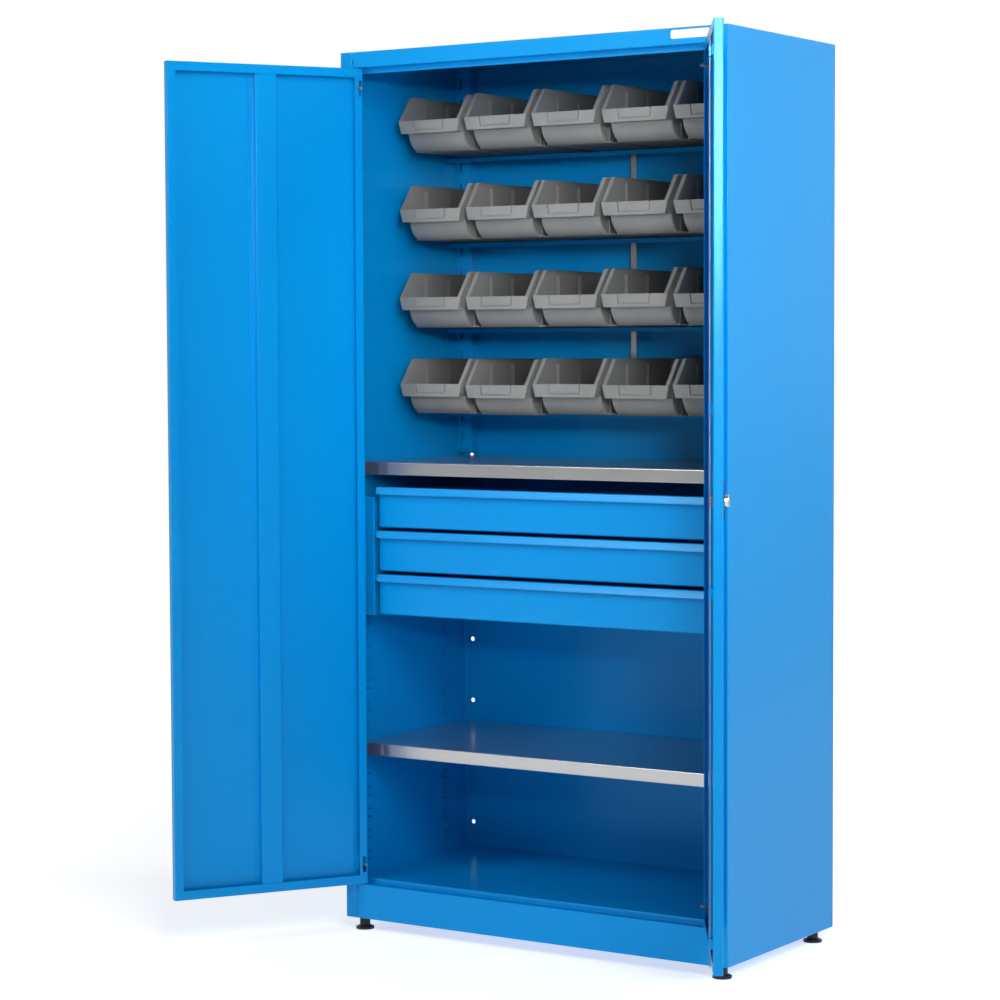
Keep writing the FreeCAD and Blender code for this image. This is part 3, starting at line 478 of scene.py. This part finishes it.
FINISHES: dict[Slot, Finish] = {
    Slot.BLUE: PowderCoat("blue_powder_coat", (0.0, 0.288, 0.71), (0.0, 0.27, 0.685)),
    Slot.GALVANISED: GalvanisedSheet("galvanised_sheet", (0.64, 0.645, 0.645), (0.50, 0.505, 0.505)),
    Slot.ZINC: ZincPlate("zinc_plate", (0.30, 0.31, 0.32), (0.21, 0.215, 0.225)),
    # The grey bins get painted shade that darkens them towards their back.
    Slot.GREY: MouldedPlastic(
        "grey_plastic", (0.26, 0.26, 0.252), (0.225, 0.225, 0.218), depth_shade_share=0.85),
    Slot.BLACK: MouldedPlastic(
        "black_plastic", (0.022, 0.022, 0.025), (0.014, 0.014, 0.016), roughness=0.42),
    Slot.BRIGHT: PolishedMetal("bright_metal", (0.80, 0.80, 0.79)),
}
PLATE_ENAMEL = Enamel("plate_enamel", (0.86, 0.87, 0.86))
DRAWERS = (1, 2, 3)


# Surfaces from whole arrays


@dataclass
class Surface:
    """Points and faces of a mesh part: quads as an array, end caps as lists of indices."""

    points: np.ndarray
    quads: np.ndarray
    caps: list[list[int]]

    @staticmethod
    def joined(parts: Sequence["Surface"]) -> "Surface":
        """Join surfaces, with each part's indices shifted past the earlier points.

        Args:
            parts: The surfaces, in order.

        Returns:
            One surface.
        """
        starts = np.cumsum([0] + [len(part.points) for part in parts[:-1]])
        points = np.concatenate([part.points for part in parts])
        quads = np.concatenate([part.quads + start for part, start in zip(parts, starts)])
        caps = [[index + int(start) for index in cap]
                for part, start in zip(parts, starts) for cap in part.caps]
        return Surface(points, quads, caps)

    def mirrored(self) -> "Surface":
        """The same surface with X reversed, and its faces turned to match."""
        points = self.points * np.array((-1.0, 1.0, 1.0))
        return Surface(points, self.quads[:, ::-1], [cap[::-1] for cap in self.caps])


def grid_quads(index: np.ndarray) -> np.ndarray:
    """One quad between each four neighbours of a grid of point indices."""
    corners = (index[:-1, :-1], index[1:, :-1], index[1:, 1:], index[:-1, 1:])
    return np.stack(corners, -1).reshape(-1, 4)


def closed_tube(grid: np.ndarray) -> Surface:
    """Run a tube through a grid of rings, each ring closed on itself.

    Args:
        grid: The points, rings by points of a ring by 3.

    Returns:
        A tube with a cap on its first and last ring.
    """
    index = np.arange(grid.shape[0] * grid.shape[1]).reshape(grid.shape[:2])
    ring = np.concatenate([index, index[:, :1]], 1)
    caps = [index[0][::-1].tolist(), index[-1].tolist()]
    return Surface(grid.reshape(-1, 3), grid_quads(ring), caps)


def swept(section: np.ndarray, path: np.ndarray, across: np.ndarray, up: np.ndarray) -> Surface:
    """Carry a closed section along a path: point = path + section_0 * across + section_1 * up.

    Args:
        section: Outline points, n by 2.
        path: Places along the path, m by 3.
        across: The section's first direction, 3 or m by 3.
        up: The section's second direction, 3 or m by 3.

    Returns:
        A tube with a cap at each end.
    """
    count = len(path)
    across = np.broadcast_to(across, (count, 3))[:, None]
    up = np.broadcast_to(up, (count, 3))[:, None]
    return closed_tube(path[:, None] + section[None, :, :1] * across + section[None, :, 1:] * up)


def two_skins(outer: np.ndarray, inner: np.ndarray) -> Surface:
    """Make a wall between two grids, stitched along all four borders.

    Args:
        outer: The points of one skin, rows by columns by 3.
        inner: The points of the other skin, in the same shape.

    Returns:
        The closed wall.
    """
    rows, columns = outer.shape[:2]
    index = np.arange(rows * columns).reshape(rows, columns)
    border = np.concatenate(
        [index[0, :-1], index[:-1, -1], index[-1, :0:-1], index[:0:-1, 0], index[0, :1]])
    far = border + rows * columns
    stitch = np.stack((border[:-1], border[1:], far[1:], far[:-1]), -1)
    skin = grid_quads(index)
    quads = np.concatenate([skin, skin[:, ::-1] + rows * columns, stitch])
    return Surface(np.concatenate([outer.reshape(-1, 3), inner.reshape(-1, 3)]), quads, [])


def rounded_box(width: float, height: float, radius: float, steps: int) -> np.ndarray:
    """Outline a rectangle about 0: point = corner + quarter circle, turned for each corner.

    Args:
        width: The first side.
        height: The second side.
        radius: The radius of its corners.
        steps: Points on each corner's arc.

    Returns:
        The outline's points, n by 2.
    """
    turn = np.linspace(0, np.pi / 2, steps)
    arc = np.stack((np.cos(turn), np.sin(turn)), -1) * radius
    quarter = np.array(((0, -1), (1, 0)))
    signs = np.array(((1, 1), (-1, 1), (-1, -1), (1, -1)))
    corners = signs * np.array((width / 2 - radius, height / 2 - radius))
    turns = [np.linalg.matrix_power(quarter, step) for step in range(len(signs))]
    return np.concatenate([corner + arc @ spin.T for corner, spin in zip(corners, turns)])


def made_piece(name: str, surface: Surface, material: bpy.types.Material) -> bpy.types.Object:
    """Make a mesh object at the origin, its faces turned outwards and its creases kept sharp.

    Args:
        name: The object's name.
        surface: Its points and faces.
        material: Its finish.

    Returns:
        The object.
    """
    mesh = bpy.data.meshes.new(name)
    mesh.from_pydata(surface.points.tolist(), [], surface.quads.tolist() + surface.caps)
    shell = bmesh.new()
    shell.from_mesh(mesh)
    bmesh.ops.remove_doubles(shell, verts=shell.verts, dist=WELD_DISTANCE)
    bmesh.ops.recalc_face_normals(shell, faces=shell.faces)
    shell.to_mesh(mesh)
    shell.free()
    mesh.shade_smooth()
    mesh.set_sharp_from_angle(angle=math.radians(CREASE_DEG))
    mesh.materials.append(material)
    piece = bpy.data.objects.new(name, mesh)
    bpy.context.scene.collection.objects.link(piece)
    return piece


# The cabinet's sheet metal and hardware


@dataclass
class SheetMetal:
    """The CAD nodes, each in the finish of its material slot."""

    materials: dict[Slot, bpy.types.Material]

    def dress(self) -> None:
        """Give each node of the frame its finish."""
        for subpart in frame["record"]["subparts"]:
            node = frame["nodes"][subpart["node"]]
            node.data.materials.clear()
            node.data.materials.append(self.materials[Slot(subpart["material_slot"])])
            LOG.info("%s: %s", subpart["node"], subpart["material_slot"])


@dataclass
class HeaderPlate:
    """The bare enamelled plate at the right end of the header."""

    width: float = 0.098
    height: float = 0.018
    thickness: float = 0.0007
    corner: float = 0.004
    corner_steps: int = 6
    from_right: float = 0.087
    below_top: float = 0.014

    def build(self) -> bpy.types.Object:
        """Grow a rounded outline towards the front: point = centre + outline, from back to face.

        Returns:
            The plate.
        """
        low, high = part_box("top_panel")
        centre = np.array((high.x - self.from_right, low.y, high.z - self.below_top))
        outline = rounded_box(self.width, self.height, self.corner, self.corner_steps)
        path = centre + np.array(((0, 0, 0), (0, -self.thickness, 0)))
        plate = swept(outline, path, X_AXIS, Z_AXIS)
        return made_piece("header_plate", plate, PLATE_ENAMEL.material())

    def dress(self, plate: bpy.types.Object) -> None:
        """Fix the plate to the shell.

        Args:
            plate: The plate that build made.
        """
        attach(plate, "cabinet")
        LOG.info("%s: bare enamel", plate.name)


@dataclass
class DrawerFront:
    """One drawer's folded front, whose pull leans back towards its head."""

    number: int
    material: bpy.types.Material
    sheet: float = 0.0012
    reach: float = 0.017
    height: float = 0.0165
    corner: float = 0.008
    lean: float = 0.0055
    heel: float = 0.005
    brow: float = 0.0024
    steps: int = 7

    def build(self) -> bpy.types.Object:
        """Carry the sheet's outline in (y, z) across; round each end of the pull its foot rises.

        The pull's front runs along y = nose + lean * (1 - s) for the share s of its drop.

        Returns:
            The front.
        """
        low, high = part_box(f"drawer_{self.number}_front")
        turn = np.linspace(0, np.pi / 2, self.steps)
        inset, rise = self.corner * (1 - np.cos(turn)), self.corner * (1 - np.sin(turn))
        across = np.concatenate([low.x + inset, (high.x - inset)[::-1]])
        foot = self.height - np.concatenate([rise, rise[::-1]])
        plate, sheet = low.y + self.reach, self.sheet
        arc = np.stack((1 - np.sin(turn), 1 - np.cos(turn)), -1)
        heel = arc * self.heel + (plate, low.z)
        hollow = arc[::-1] * (self.heel - sheet) + (plate + sheet, low.z + sheet)
        head = low.y + self.lean
        brow = np.stack((1 - np.cos(turn), np.sin(turn) - 1), -1) * self.brow + (head, high.z)
        under = [(plate, high.z - sheet), (head + sheet, high.z - sheet)]
        before = np.concatenate([[(high.y, low.z)], heel, under])
        after = np.concatenate([brow, [(plate + sheet, high.z)], hollow, [(high.y, low.z + sheet)]])
        tip = np.stack((low.y + self.lean * (1 - foot / self.height), high.z - foot), -1)
        tips = np.stack((tip + (sheet, 0.0), tip), 1)
        repeats = (len(across), 1, 1)
        ring = np.concatenate([np.tile(before, repeats), tips, np.tile(after, repeats)], 1)
        x = np.broadcast_to(across[:, None, None], (*ring.shape[:2], 1))
        folded = closed_tube(np.concatenate([x, ring], -1))
        return made_piece(f"folded_front_{self.number}", folded, self.material)

    def dress(self, front: bpy.types.Object) -> None:
        """Let the front stand for its CAD node and ride on its drawer.

        Args:
            front: The front that build made.
        """
        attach(front, f"drawer_{self.number}")
        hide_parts(f"drawer_{self.number}_front")
        LOG.info("%s: blue coat", front.name)


# The moulded bins


@dataclass
class HangingBin:
    """One open-fronted bin, about the middle of its front lip.

    X runs across, Y to the back and Z up from its base. Its one-sided parts are built on the right.
    """

    width: float = 0.170
    body: float = 0.156
    depth: float = 0.291
    height: float = 0.127
    wall: float = 0.0025
    wall_steps: int = 7
    lip_top: float = 0.069
    lip_bottom: float = 0.040
    lip_slope: float = 0.0025
    lip_steps: int = 4
    front_setback: float = 0.026
    front_toe: float = 0.060
    front_curve: float = 0.053
    toe_steps: int = 12
    floor_steps: int = 14
    back_steps: int = 8
    mouth_run: float = 0.044
    mouth_share: float = 0.45
    corner: float = 0.005
    corner_steps: int = 5
    corner_ease: float = 8.0
    corner_least: float = 0.12
    edge_round: float = 0.0008
    edge_steps: int = 3
    rim_sheet: float = 0.0042
    rim_bend: float = 0.006
    rim_steps: int = 6
    level_steps: int = 5
    bead: float = 0.0032
    bead_share: float = 0.84
    bead_round: float = 0.0009
    bead_proud: float = 0.0004
    bead_steps: int = 4
    back_rim_walls: float = 1.5
    back_rim_sheets: float = 1.6
    band_proud: float = 0.0024
    band_slope: float = 0.0012
    band_walls: float = 1.4
    band_edges: Span = (0.012, 0.05)
    label_shares: Span = (0.25, 0.75)
    label_drop_share: float = 0.78
    label_groove: float = 0.0026
    groove_shares: Span = (0.013, 0.08)
    groove_slopes: Span = (0.003, 0.02)
    rib_places: Span = (0.092, 0.184)
    rib_spread: float = 0.0075
    rib_width: float = 0.0030
    rib_reach: float = 0.0024
    rib_below_top: float = 0.012
    rib_steps: int = 4
    toe_rib_box: Span = (0.004, 0.003)
    toe_rib_round: float = 0.001
    toe_rib_place: float = 0.068
    toe_rib_rise: float = 0.036
    ridge_pitch: float = 0.0085
    ridge_reach: float = 0.0032
    ridge_rise: float = 0.0045
    ridge_root: float = 0.001
    ridge_section: tuple[Span, ...] = ((-1.0, 0.0), (1.0, 0.0), (1.0, 0.8), (0.6, 1.0), (-1.0, 1.0))
    tooth_shares: tuple[float, ...] = (0.0, 0.12, 0.5, 0.62)
    tooth_reaches: tuple[float, ...] = (0.2, 1.0, 1.0, 0.2)
    hook_width: float = 0.100
    hook_sheet: float = 0.003
    hook_drop: float = 0.012
    hook_level: float = 0.1003
    hook_gap: float = 0.0021

    def profile(self) -> np.ndarray:
        """Draw the outer line in (y, z), from the lip's head round the toe to the back's head.

        The lip falls with a small slope, a ledge leads back, an arc of radius front_curve about the
        point at that distance from both its ends forms the toe, and the floor and the back are straight.

        Returns:
            The line's points, n by 2.
        """
        start = np.array((self.front_setback, self.lip_bottom))
        end = np.array((self.front_toe, 0.0))
        chord = end - start
        half = np.linalg.norm(chord) / 2
        inwards = np.array((-chord[1], chord[0])) / (2 * half)
        centre = (start + end) / 2 + inwards * math.sqrt(self.front_curve ** 2 - half ** 2)
        first = math.atan2(*(start - centre)[::-1]) + math.tau
        last = math.atan2(*(end - centre)[::-1]) + math.tau
        turn = np.linspace(first, last, self.toe_steps)
        toe = centre + self.front_curve * np.stack((np.cos(turn), np.sin(turn)), -1)
        fold = (self.lip_slope, self.lip_bottom)
        heel = (self.depth, 0.0)
        lip = np.linspace((0.0, self.lip_top), fold, self.lip_steps)
        ledge = np.linspace(fold, start, self.lip_steps)[1:-1]
        floor = np.linspace(end, heel, self.floor_steps)[1:]
        back = np.linspace(heel, (self.depth, self.height), self.back_steps)[1:]
        return np.concatenate([lip, ledge, toe, floor, back])

    def mouth(self, count: int) -> np.ndarray:
        """Draw the mouth's line in (y, z): up the diagonal, then level to the back.

        Args:
            count: How many points it has.

        Returns:
            The points, count by 2.
        """
        run = self.mouth_run
        shares = np.linspace(0, 1, count)
        place = np.interp(shares, (0, self.mouth_share, 1), (0, run, self.depth))
        rise = np.minimum(self.lip_top + place * (self.height - self.lip_top) / run, self.height)
        return np.stack((place, rise), -1)

    def skin(self, inset: float) -> np.ndarray:
        """Make one skin of the tub as a grid, along the profile by across the section.

        Each section runs down the left wall from the mouth, round a fillet, across and up the other
        side. A wall point is base + share * (mouth - base), where base stands one fillet radius inside
        the profile.

        Args:
            inset: How far the skin lies inside the outer one.

        Returns:
            The grid's points, rows by columns by 3.
        """
        line = self.profile()
        ahead = np.gradient(line, axis=0)
        normal = np.stack((-ahead[:, 1], ahead[:, 0]), -1)
        normal /= np.linalg.norm(normal, axis=1, keepdims=True)
        line = line + normal * inset
        mouth = self.mouth(len(line))
        mouth[:, 0] = np.clip(mouth[:, 0], inset, self.depth - inset)
        share = np.linspace(0, 1, len(line))
        ease = np.clip(np.minimum(share, 1 - share) * self.corner_ease, self.corner_least, 1)
        radius = (self.corner - inset) * ease
        base = line + normal * radius[:, None]
        half = self.body / 2 - inset
        climb = np.linspace(1, 0, self.wall_steps)
        wall = base[:, None] + climb[None, :, None] * (mouth - base)[:, None]
        wall = np.concatenate([np.full(wall.shape[:2] + (1,), -half), wall], -1)
        turn = np.linspace(0, np.pi / 2, self.corner_steps)[1:]
        depth = radius[:, None] * (1 - np.sin(turn))
        side = -half + radius[:, None] * (1 - np.cos(turn))
        curve = line[:, None] + normal[:, None] * depth[..., None]
        fillet = np.concatenate([side[..., None], curve], -1)
        left = np.concatenate([wall, fillet], 1)
        middle = left[:, -1:] * np.array((0.0, 1.0, 1.0))
        right = left[:, ::-1] * np.array((-1.0, 1.0, 1.0))
        return np.concatenate([left, middle, right], 1)

    def rim(self) -> Surface:
        """Carry a rounded strip along the wall's mouth, up the diagonal and back.

        Between them the line bends on (1 - t)^2 * before + 2 * t * (1 - t) * corner + t^2 * after.

        Returns:
            The flange.
        """
        out = (self.width - self.body) / 2
        section = rounded_box(out + self.wall, self.rim_sheet, self.edge_round, self.edge_steps)
        section = section + np.array(((out - self.wall) / 2, -self.rim_sheet / 2))
        foot = np.array((0.0, self.lip_top))
        corner = np.array((self.mouth_run, self.height))
        slope = (corner - foot) / np.linalg.norm(corner - foot)
        before = corner - slope * self.rim_bend
        after = corner + np.array((self.rim_bend, 0.0))
        ease = np.linspace(0, 1, self.rim_steps)[1:-1, None]
        bend = (1 - ease) ** 2 * before + 2 * ease * (1 - ease) * corner + ease ** 2 * after
        diagonal = np.linspace(foot, before, self.rim_steps)
        level = np.linspace(after, (self.depth, self.height), self.level_steps)
        line = np.concatenate([diagonal, bend, level])
        ahead = np.gradient(line, axis=0)
        ahead /= np.linalg.norm(ahead, axis=1, keepdims=True)
        path = np.column_stack((np.full(len(line), self.body / 2), line))
        up = np.column_stack((np.zeros(len(line)), -ahead[:, 1], ahead[:, 0]))
        return swept(section, path, X_AXIS, up)

    def rim_bead(self) -> Surface:
        """Carry a small rounded box up the diagonal's inner edge, to a step short of its head.

        Returns:
            The bead.
        """
        foot = np.array((self.body / 2, self.wall, self.lip_top))
        head = np.array((self.body / 2, self.mouth_run, self.height))
        slope = (head - foot) / np.linalg.norm(head - foot)
        section = rounded_box(self.bead, self.bead, self.bead_round, self.edge_steps)
        section = section + np.array((-self.bead / 2, -self.bead / 2 + self.bead_proud))
        path = np.linspace(foot, foot + (head - foot) * self.bead_share, self.bead_steps)
        return swept(section, path, X_AXIS, np.array((0.0, -slope[2], slope[1])))

    def back_rim(self) -> Surface:
        """Carry a rounded box across the head of the back wall, to stiffen it.

        Returns:
            The strip.
        """
        thick, deep = self.wall * self.back_rim_walls, self.rim_sheet * self.back_rim_sheets
        section = rounded_box(thick, deep, self.edge_round, self.edge_steps)
        half = self.width / 2
        centre = (self.depth - thick / 2, self.height - deep / 2)
        path = np.array(((-half, *centre), (half, *centre)))
        return swept(section, path, Y_AXIS, Z_AXIS)

    def lip_band(self) -> Surface:
        """Make the band across the front: a trapezoid grid, sunk along a groove round the label's field.

        The groove is the label's box less the same box drawn in by groove_shares, open at the band's
        head. A point's place is its share across and its share of the drop.

        Returns:
            The band.
        """
        low, high = self.label_shares
        foot = self.label_drop_share
        wide, tall = self.groove_shares
        slope, fall = self.groove_slopes
        edge, brow = self.band_edges
        left = np.array((low - slope, low, low + wide, low + wide + slope))
        across = np.concatenate([(0, edge), left, (0.5,), 1 - left[::-1], (1 - edge, 1)])
        drop = np.array((0, brow, foot - tall - fall, foot - tall, foot, foot + fall, 1 - brow, 1))
        rim = np.where((across == 0) | (across == 1), self.edge_round, 0.0)
        outer = ((across >= low) & (across <= high))[None] & (drop <= foot)[:, None]
        inner = (np.abs(across - 0.5) < 0.5 - left[2])[None] & (drop < foot - tall)[:, None]
        sunk = np.where(outer & ~inner, self.label_groove, 0.0)
        half = self.width / 2 + (self.body - self.width) / 2 * drop
        level = self.lip_top + (self.lip_bottom - self.lip_top) * drop
        x = (across * 2 - 1)[None] * half[:, None]
        y = self.band_slope * drop[:, None] + sunk + rim[None] - self.band_proud
        z = np.broadcast_to(level[:, None], x.shape)
        front = np.stack((x, y, z), -1)
        back = np.stack((x, np.full(x.shape, self.wall * self.band_walls), z), -1)
        return two_skins(front, back)

    def wall_ribs(self) -> list[Surface]:
        """Carry a rounded box up the wall's inside, from the floor to below the rim.

        Returns:
            The ribs, in pairs.
        """
        section = rounded_box(self.rib_reach * 2, self.rib_width, self.edge_round, self.rib_steps)
        inside = self.body / 2 - self.wall
        head = self.height - self.rib_below_top
        pair = (-self.rib_spread / 2, self.rib_spread / 2)
        places = np.add.outer(self.rib_places, pair).ravel()
        paths = [np.array(((inside, place, self.wall), (inside, place, head))) for place in places]
        return [swept(section, path, X_AXIS, Y_AXIS) for path in paths]

    def toe_rib(self) -> Surface:
        """Carry a rounded box up the wall's outside, behind the toe.

        Returns:
            The short rib.
        """
        section = rounded_box(*self.toe_rib_box, self.toe_rib_round, self.edge_steps)
        foot = np.array((self.body / 2, self.toe_rib_place, 0.0))
        path = np.stack((foot, foot + Z_AXIS * self.toe_rib_rise))
        return swept(section, path, X_AXIS, Y_AXIS)

    def stacking_ridge(self) -> Surface:
        """Make the toothed strip along the wall's foot: its reach steps up and down along the depth.

        A negative first number in ridge_section stands for the root inside the wall.

        Returns:
            The strip.
        """
        teeth = int((self.depth - self.front_toe) / self.ridge_pitch)
        starts = self.front_toe + np.arange(teeth)[:, None] * self.ridge_pitch
        place = (starts + np.array(self.tooth_shares) * self.ridge_pitch).ravel()
        reach = np.tile(self.tooth_reaches, teeth) * self.ridge_reach
        out, rise = np.array(self.ridge_section).T
        x = self.body / 2 + np.where(out < 0, -self.ridge_root, out * reach[:, None])
        y = np.broadcast_to(place[:, None], x.shape)
        z = np.broadcast_to(rise * self.ridge_rise, x.shape)
        return closed_tube(np.stack((x, y, z), -1))

    def hook(self) -> Surface:
        """Carry a bent strip's outline in (y, z) across, behind the back.

        Returns:
            The hook.
        """
        root, level = self.depth - self.wall, self.hook_level
        near = self.depth + self.hook_gap
        far = near + self.hook_sheet
        outline = np.array((
            (root, level),
            (near, level),
            (near, level - self.hook_drop),
            (far, level - self.hook_drop),
            (far, level + self.hook_sheet),
            (root, level + self.hook_sheet),
        ))
        path = np.outer((-self.hook_width / 2, self.hook_width / 2), X_AXIS)
        return swept(outline, path, Y_AXIS, Z_AXIS)

    def build(self) -> Surface:
        """Join the bin's parts, those of the right side also mirrored to the left.

        Returns:
            The whole bin in its own frame.
        """
        tub = two_skins(self.skin(0.0), self.skin(self.wall))
        edges = [self.rim(), self.rim_bead(), self.toe_rib(), self.stacking_ridge()]
        one_side = edges + self.wall_ribs()
        both = one_side + [part.mirrored() for part in one_side]
        return Surface.joined([tub, self.lip_band(), self.back_rim(), self.hook(), *both])


@dataclass
class BinRows:
    """The twenty bins on their rails, each hanging a little unevenly."""

    material: bpy.types.Material
    rows: int = 4
    columns: int = 5
    seed: int = 11
    yaw_deg: float = 0.45
    pitch_deg: float = 0.35
    shift: float = 0.0008

    def build(self) -> None:
        """Make and dress each bin: point = turn * bin point + the place of its CAD node."""
        draw = np.random.default_rng(self.seed)
        bin_shape = HangingBin()
        surface = bin_shape.build()
        pivot = np.array((0.0, bin_shape.depth, bin_shape.hook_level))
        for row in range(1, self.rows + 1):
            for column in range(1, self.columns + 1):
                node = f"bin_row{row}_col{column}"
                low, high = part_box(node)
                yaw, pitch = np.radians(draw.uniform(-1, 1, 2) * (self.yaw_deg, self.pitch_deg))
                turn = np.array(Matrix.Rotation(yaw, 3, "Z") @ Matrix.Rotation(pitch, 3, "X"))
                middle = (low.x + high.x) / 2 + draw.uniform(-1, 1) * self.shift
                place = np.array((middle, low.y, low.z))
                points = (surface.points - pivot) @ turn.T + pivot + place
                hung = Surface(points, surface.quads, surface.caps)
                piece = made_piece(f"moulded_{node}", hung, self.material)
                self.dress(piece, node)

    def dress(self, piece: bpy.types.Object, node: str) -> None:
        """Let the moulded bin stand for its CAD node.

        Args:
            piece: The bin.
            node: The name of its node, which is its body's name too.
        """
        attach(piece, node)
        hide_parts(node)
        LOG.info("%s: moulded grey plastic", piece.name)


# Studio and camera


@dataclass(frozen=True)
class SoftLight:
    """One square softbox that faces a point of the cabinet."""

    name: str
    place: Place
    size: float
    power: float
    aim: Place = (0.0, 0.0, 1.0)
    spread_deg: float = 180.0

    def build(self) -> None:
        """Make the lamp and turn it to its aim."""
        lamp = bpy.data.lights.new(self.name, "AREA")
        lamp.shape = "SQUARE"
        lamp.size = self.size
        lamp.energy = self.power
        lamp.spread = math.radians(self.spread_deg)
        holder = bpy.data.objects.new(self.name, lamp)
        holder.location = self.place
        view = Vector(self.aim) - Vector(self.place)
        holder.rotation_euler = view.to_track_quat("-Z", "Y").to_euler()
        bpy.context.scene.collection.objects.link(holder)


@dataclass
class Studio:
    """A pale floor, a white surround and softboxes."""

    floor_half: float = 40.0
    floor_colour: Colour = (0.93, 0.93, 0.93)
    floor_roughness: float = 0.9
    floor_glow: float = 0.84
    floor_bounce: Colour = (0.45, 0.45, 0.45)
    near_glow: Colour = (0.7, 0.7, 0.7)
    near_span: Span = (1.0, 4.5)
    ambient: float = 0.2
    front_sheen: float = 0.16
    sheen_span: Span = (-0.1, 0.6)
    lights: tuple[SoftLight, ...] = (
        SoftLight("key_softbox", (4.4, -4.4, 4.4), 2.6, 178.0),
        SoftLight("fill_softbox", (-2.6, -5.1, 3.95), 1.8, 100.0),
        SoftLight("side_softbox", (4.6, 1.4, 3.4), 2.2, 80.0, (0.5, 0.2, 1.6)),
        SoftLight("upper_softbox", (3.69, -4.64, 2.2), 0.7, 3.9, (-0.25, 0.4, 1.62), 26.0),
    )

    def build(self) -> None:
        """Make the floor, the lamps and the surround."""
        half = self.floor_half
        corners = [(-half, -half, 0), (half, -half, 0), (half, half, 0), (-half, half, 0)]
        mesh = bpy.data.meshes.new("floor")
        mesh.from_pydata(corners, [], [(0, 1, 2, 3)])
        mesh.materials.append(self.floor_material())
        floor = bpy.data.objects.new("floor", mesh)
        bpy.context.scene.collection.objects.link(floor)
        for light in self.lights:
            light.build()
        self.surround()

    def floor_material(self) -> bpy.types.Material:
        """Make a matt pale floor that glows.

        The camera sees it glow less near the cabinet, so that the shadow shows, and white far away;
        other rays see floor_bounce.

        Returns:
            The material.
        """
        shader = Shader("pale_floor")
        seen = shader.place.length().band(*self.near_span).blend(self.near_glow, WHITE)
        return shader.feed(
            Base_Color=self.floor_colour,
            Roughness=self.floor_roughness,
            Specular_IOR_Level=0.0,
            Emission_Color=shader.place.ray("Camera").blend(self.floor_bounce, seen),
            Emission_Strength=self.floor_glow,
        )

    def surround(self) -> None:
        """Make a white backdrop and an even ambient light.

        Camera rays see white. Glossy and transmission rays see a strength that rises from front_sheen
        to 1 as they turn from the front to the back. All other rays get the ambient strength.
        """
        world = bpy.data.worlds.new("surround")
        world.use_nodes = True
        bpy.context.scene.world = world
        tree = world.node_tree
        background = tree.nodes["Background"]
        way = Field(tree, tree.nodes.new("ShaderNodeTexCoord").outputs["Generated"])
        sheen = self.front_sheen + way.along("Y").band(*self.sheen_span) * (1 - self.front_sheen)
        white = way.ray("Camera").larger(sheen)
        seen = way.ray("Camera").larger(way.ray("Glossy")).larger(way.ray("Transmission"))
        strength = self.ambient + seen * (white - self.ambient)
        background.inputs["Color"].default_value = tint(WHITE)
        tree.links.new(strength.socket, background.inputs["Strength"])


@dataclass(frozen=True)
class PhotoCamera:
    """The photograph's camera, solved from the cabinet's edges; its angles are in radians."""

    place: Place = (3.26687, -5.12032, 1.34536)
    lens_mm: float = 99.156
    sensor_mm: float = 36.0
    yaw: float = -0.5823
    pitch_down: float = 0.0560
    roll: float = -0.0040

    def build(self) -> None:
        """Place the camera: turned by yaw about Z, tipped down by pitch, then rolled about its view."""
        ahead = Vector((math.sin(self.yaw), math.cos(self.yaw), 0))
        right = Vector((math.cos(self.yaw), -math.sin(self.yaw), 0))
        up = Vector((0, 0, 1))
        view = ahead * math.cos(self.pitch_down) - up * math.sin(self.pitch_down)
        rise = ahead * math.sin(self.pitch_down) + up * math.cos(self.pitch_down)
        across = right * math.cos(self.roll) + rise * math.sin(self.roll)
        head = rise * math.cos(self.roll) - right * math.sin(self.roll)
        lens = bpy.data.cameras.new("photo_camera")
        lens.lens = self.lens_mm
        lens.sensor_width = self.sensor_mm
        lens.sensor_fit = "HORIZONTAL"
        camera = bpy.data.objects.new("photo_camera", lens)
        axes = Matrix((across, head, -view)).transposed().to_4x4()
        camera.matrix_world = Matrix.Translation(self.place) @ axes
        bpy.context.scene.collection.objects.link(camera)
        bpy.context.scene.camera = camera


def main() -> None:
    """Build and dress the cabinet in order, then the studio and the camera."""
    logging.basicConfig(level=logging.INFO, format="%(name)s %(message)s")
    bpy.context.scene.view_settings.view_transform = "Standard"
    materials = {slot: finish.material() for slot, finish in FINISHES.items()}
    SheetMetal(materials).dress()
    plate = HeaderPlate()
    plate.dress(plate.build())
    for number in DRAWERS:
        front = DrawerFront(number, materials[Slot.BLUE])
        front.dress(front.build())
    BinRows(materials[Slot.GREY]).build()
    Studio().build()
    PhotoCamera().build()


if __name__ == "__main__":
    main()
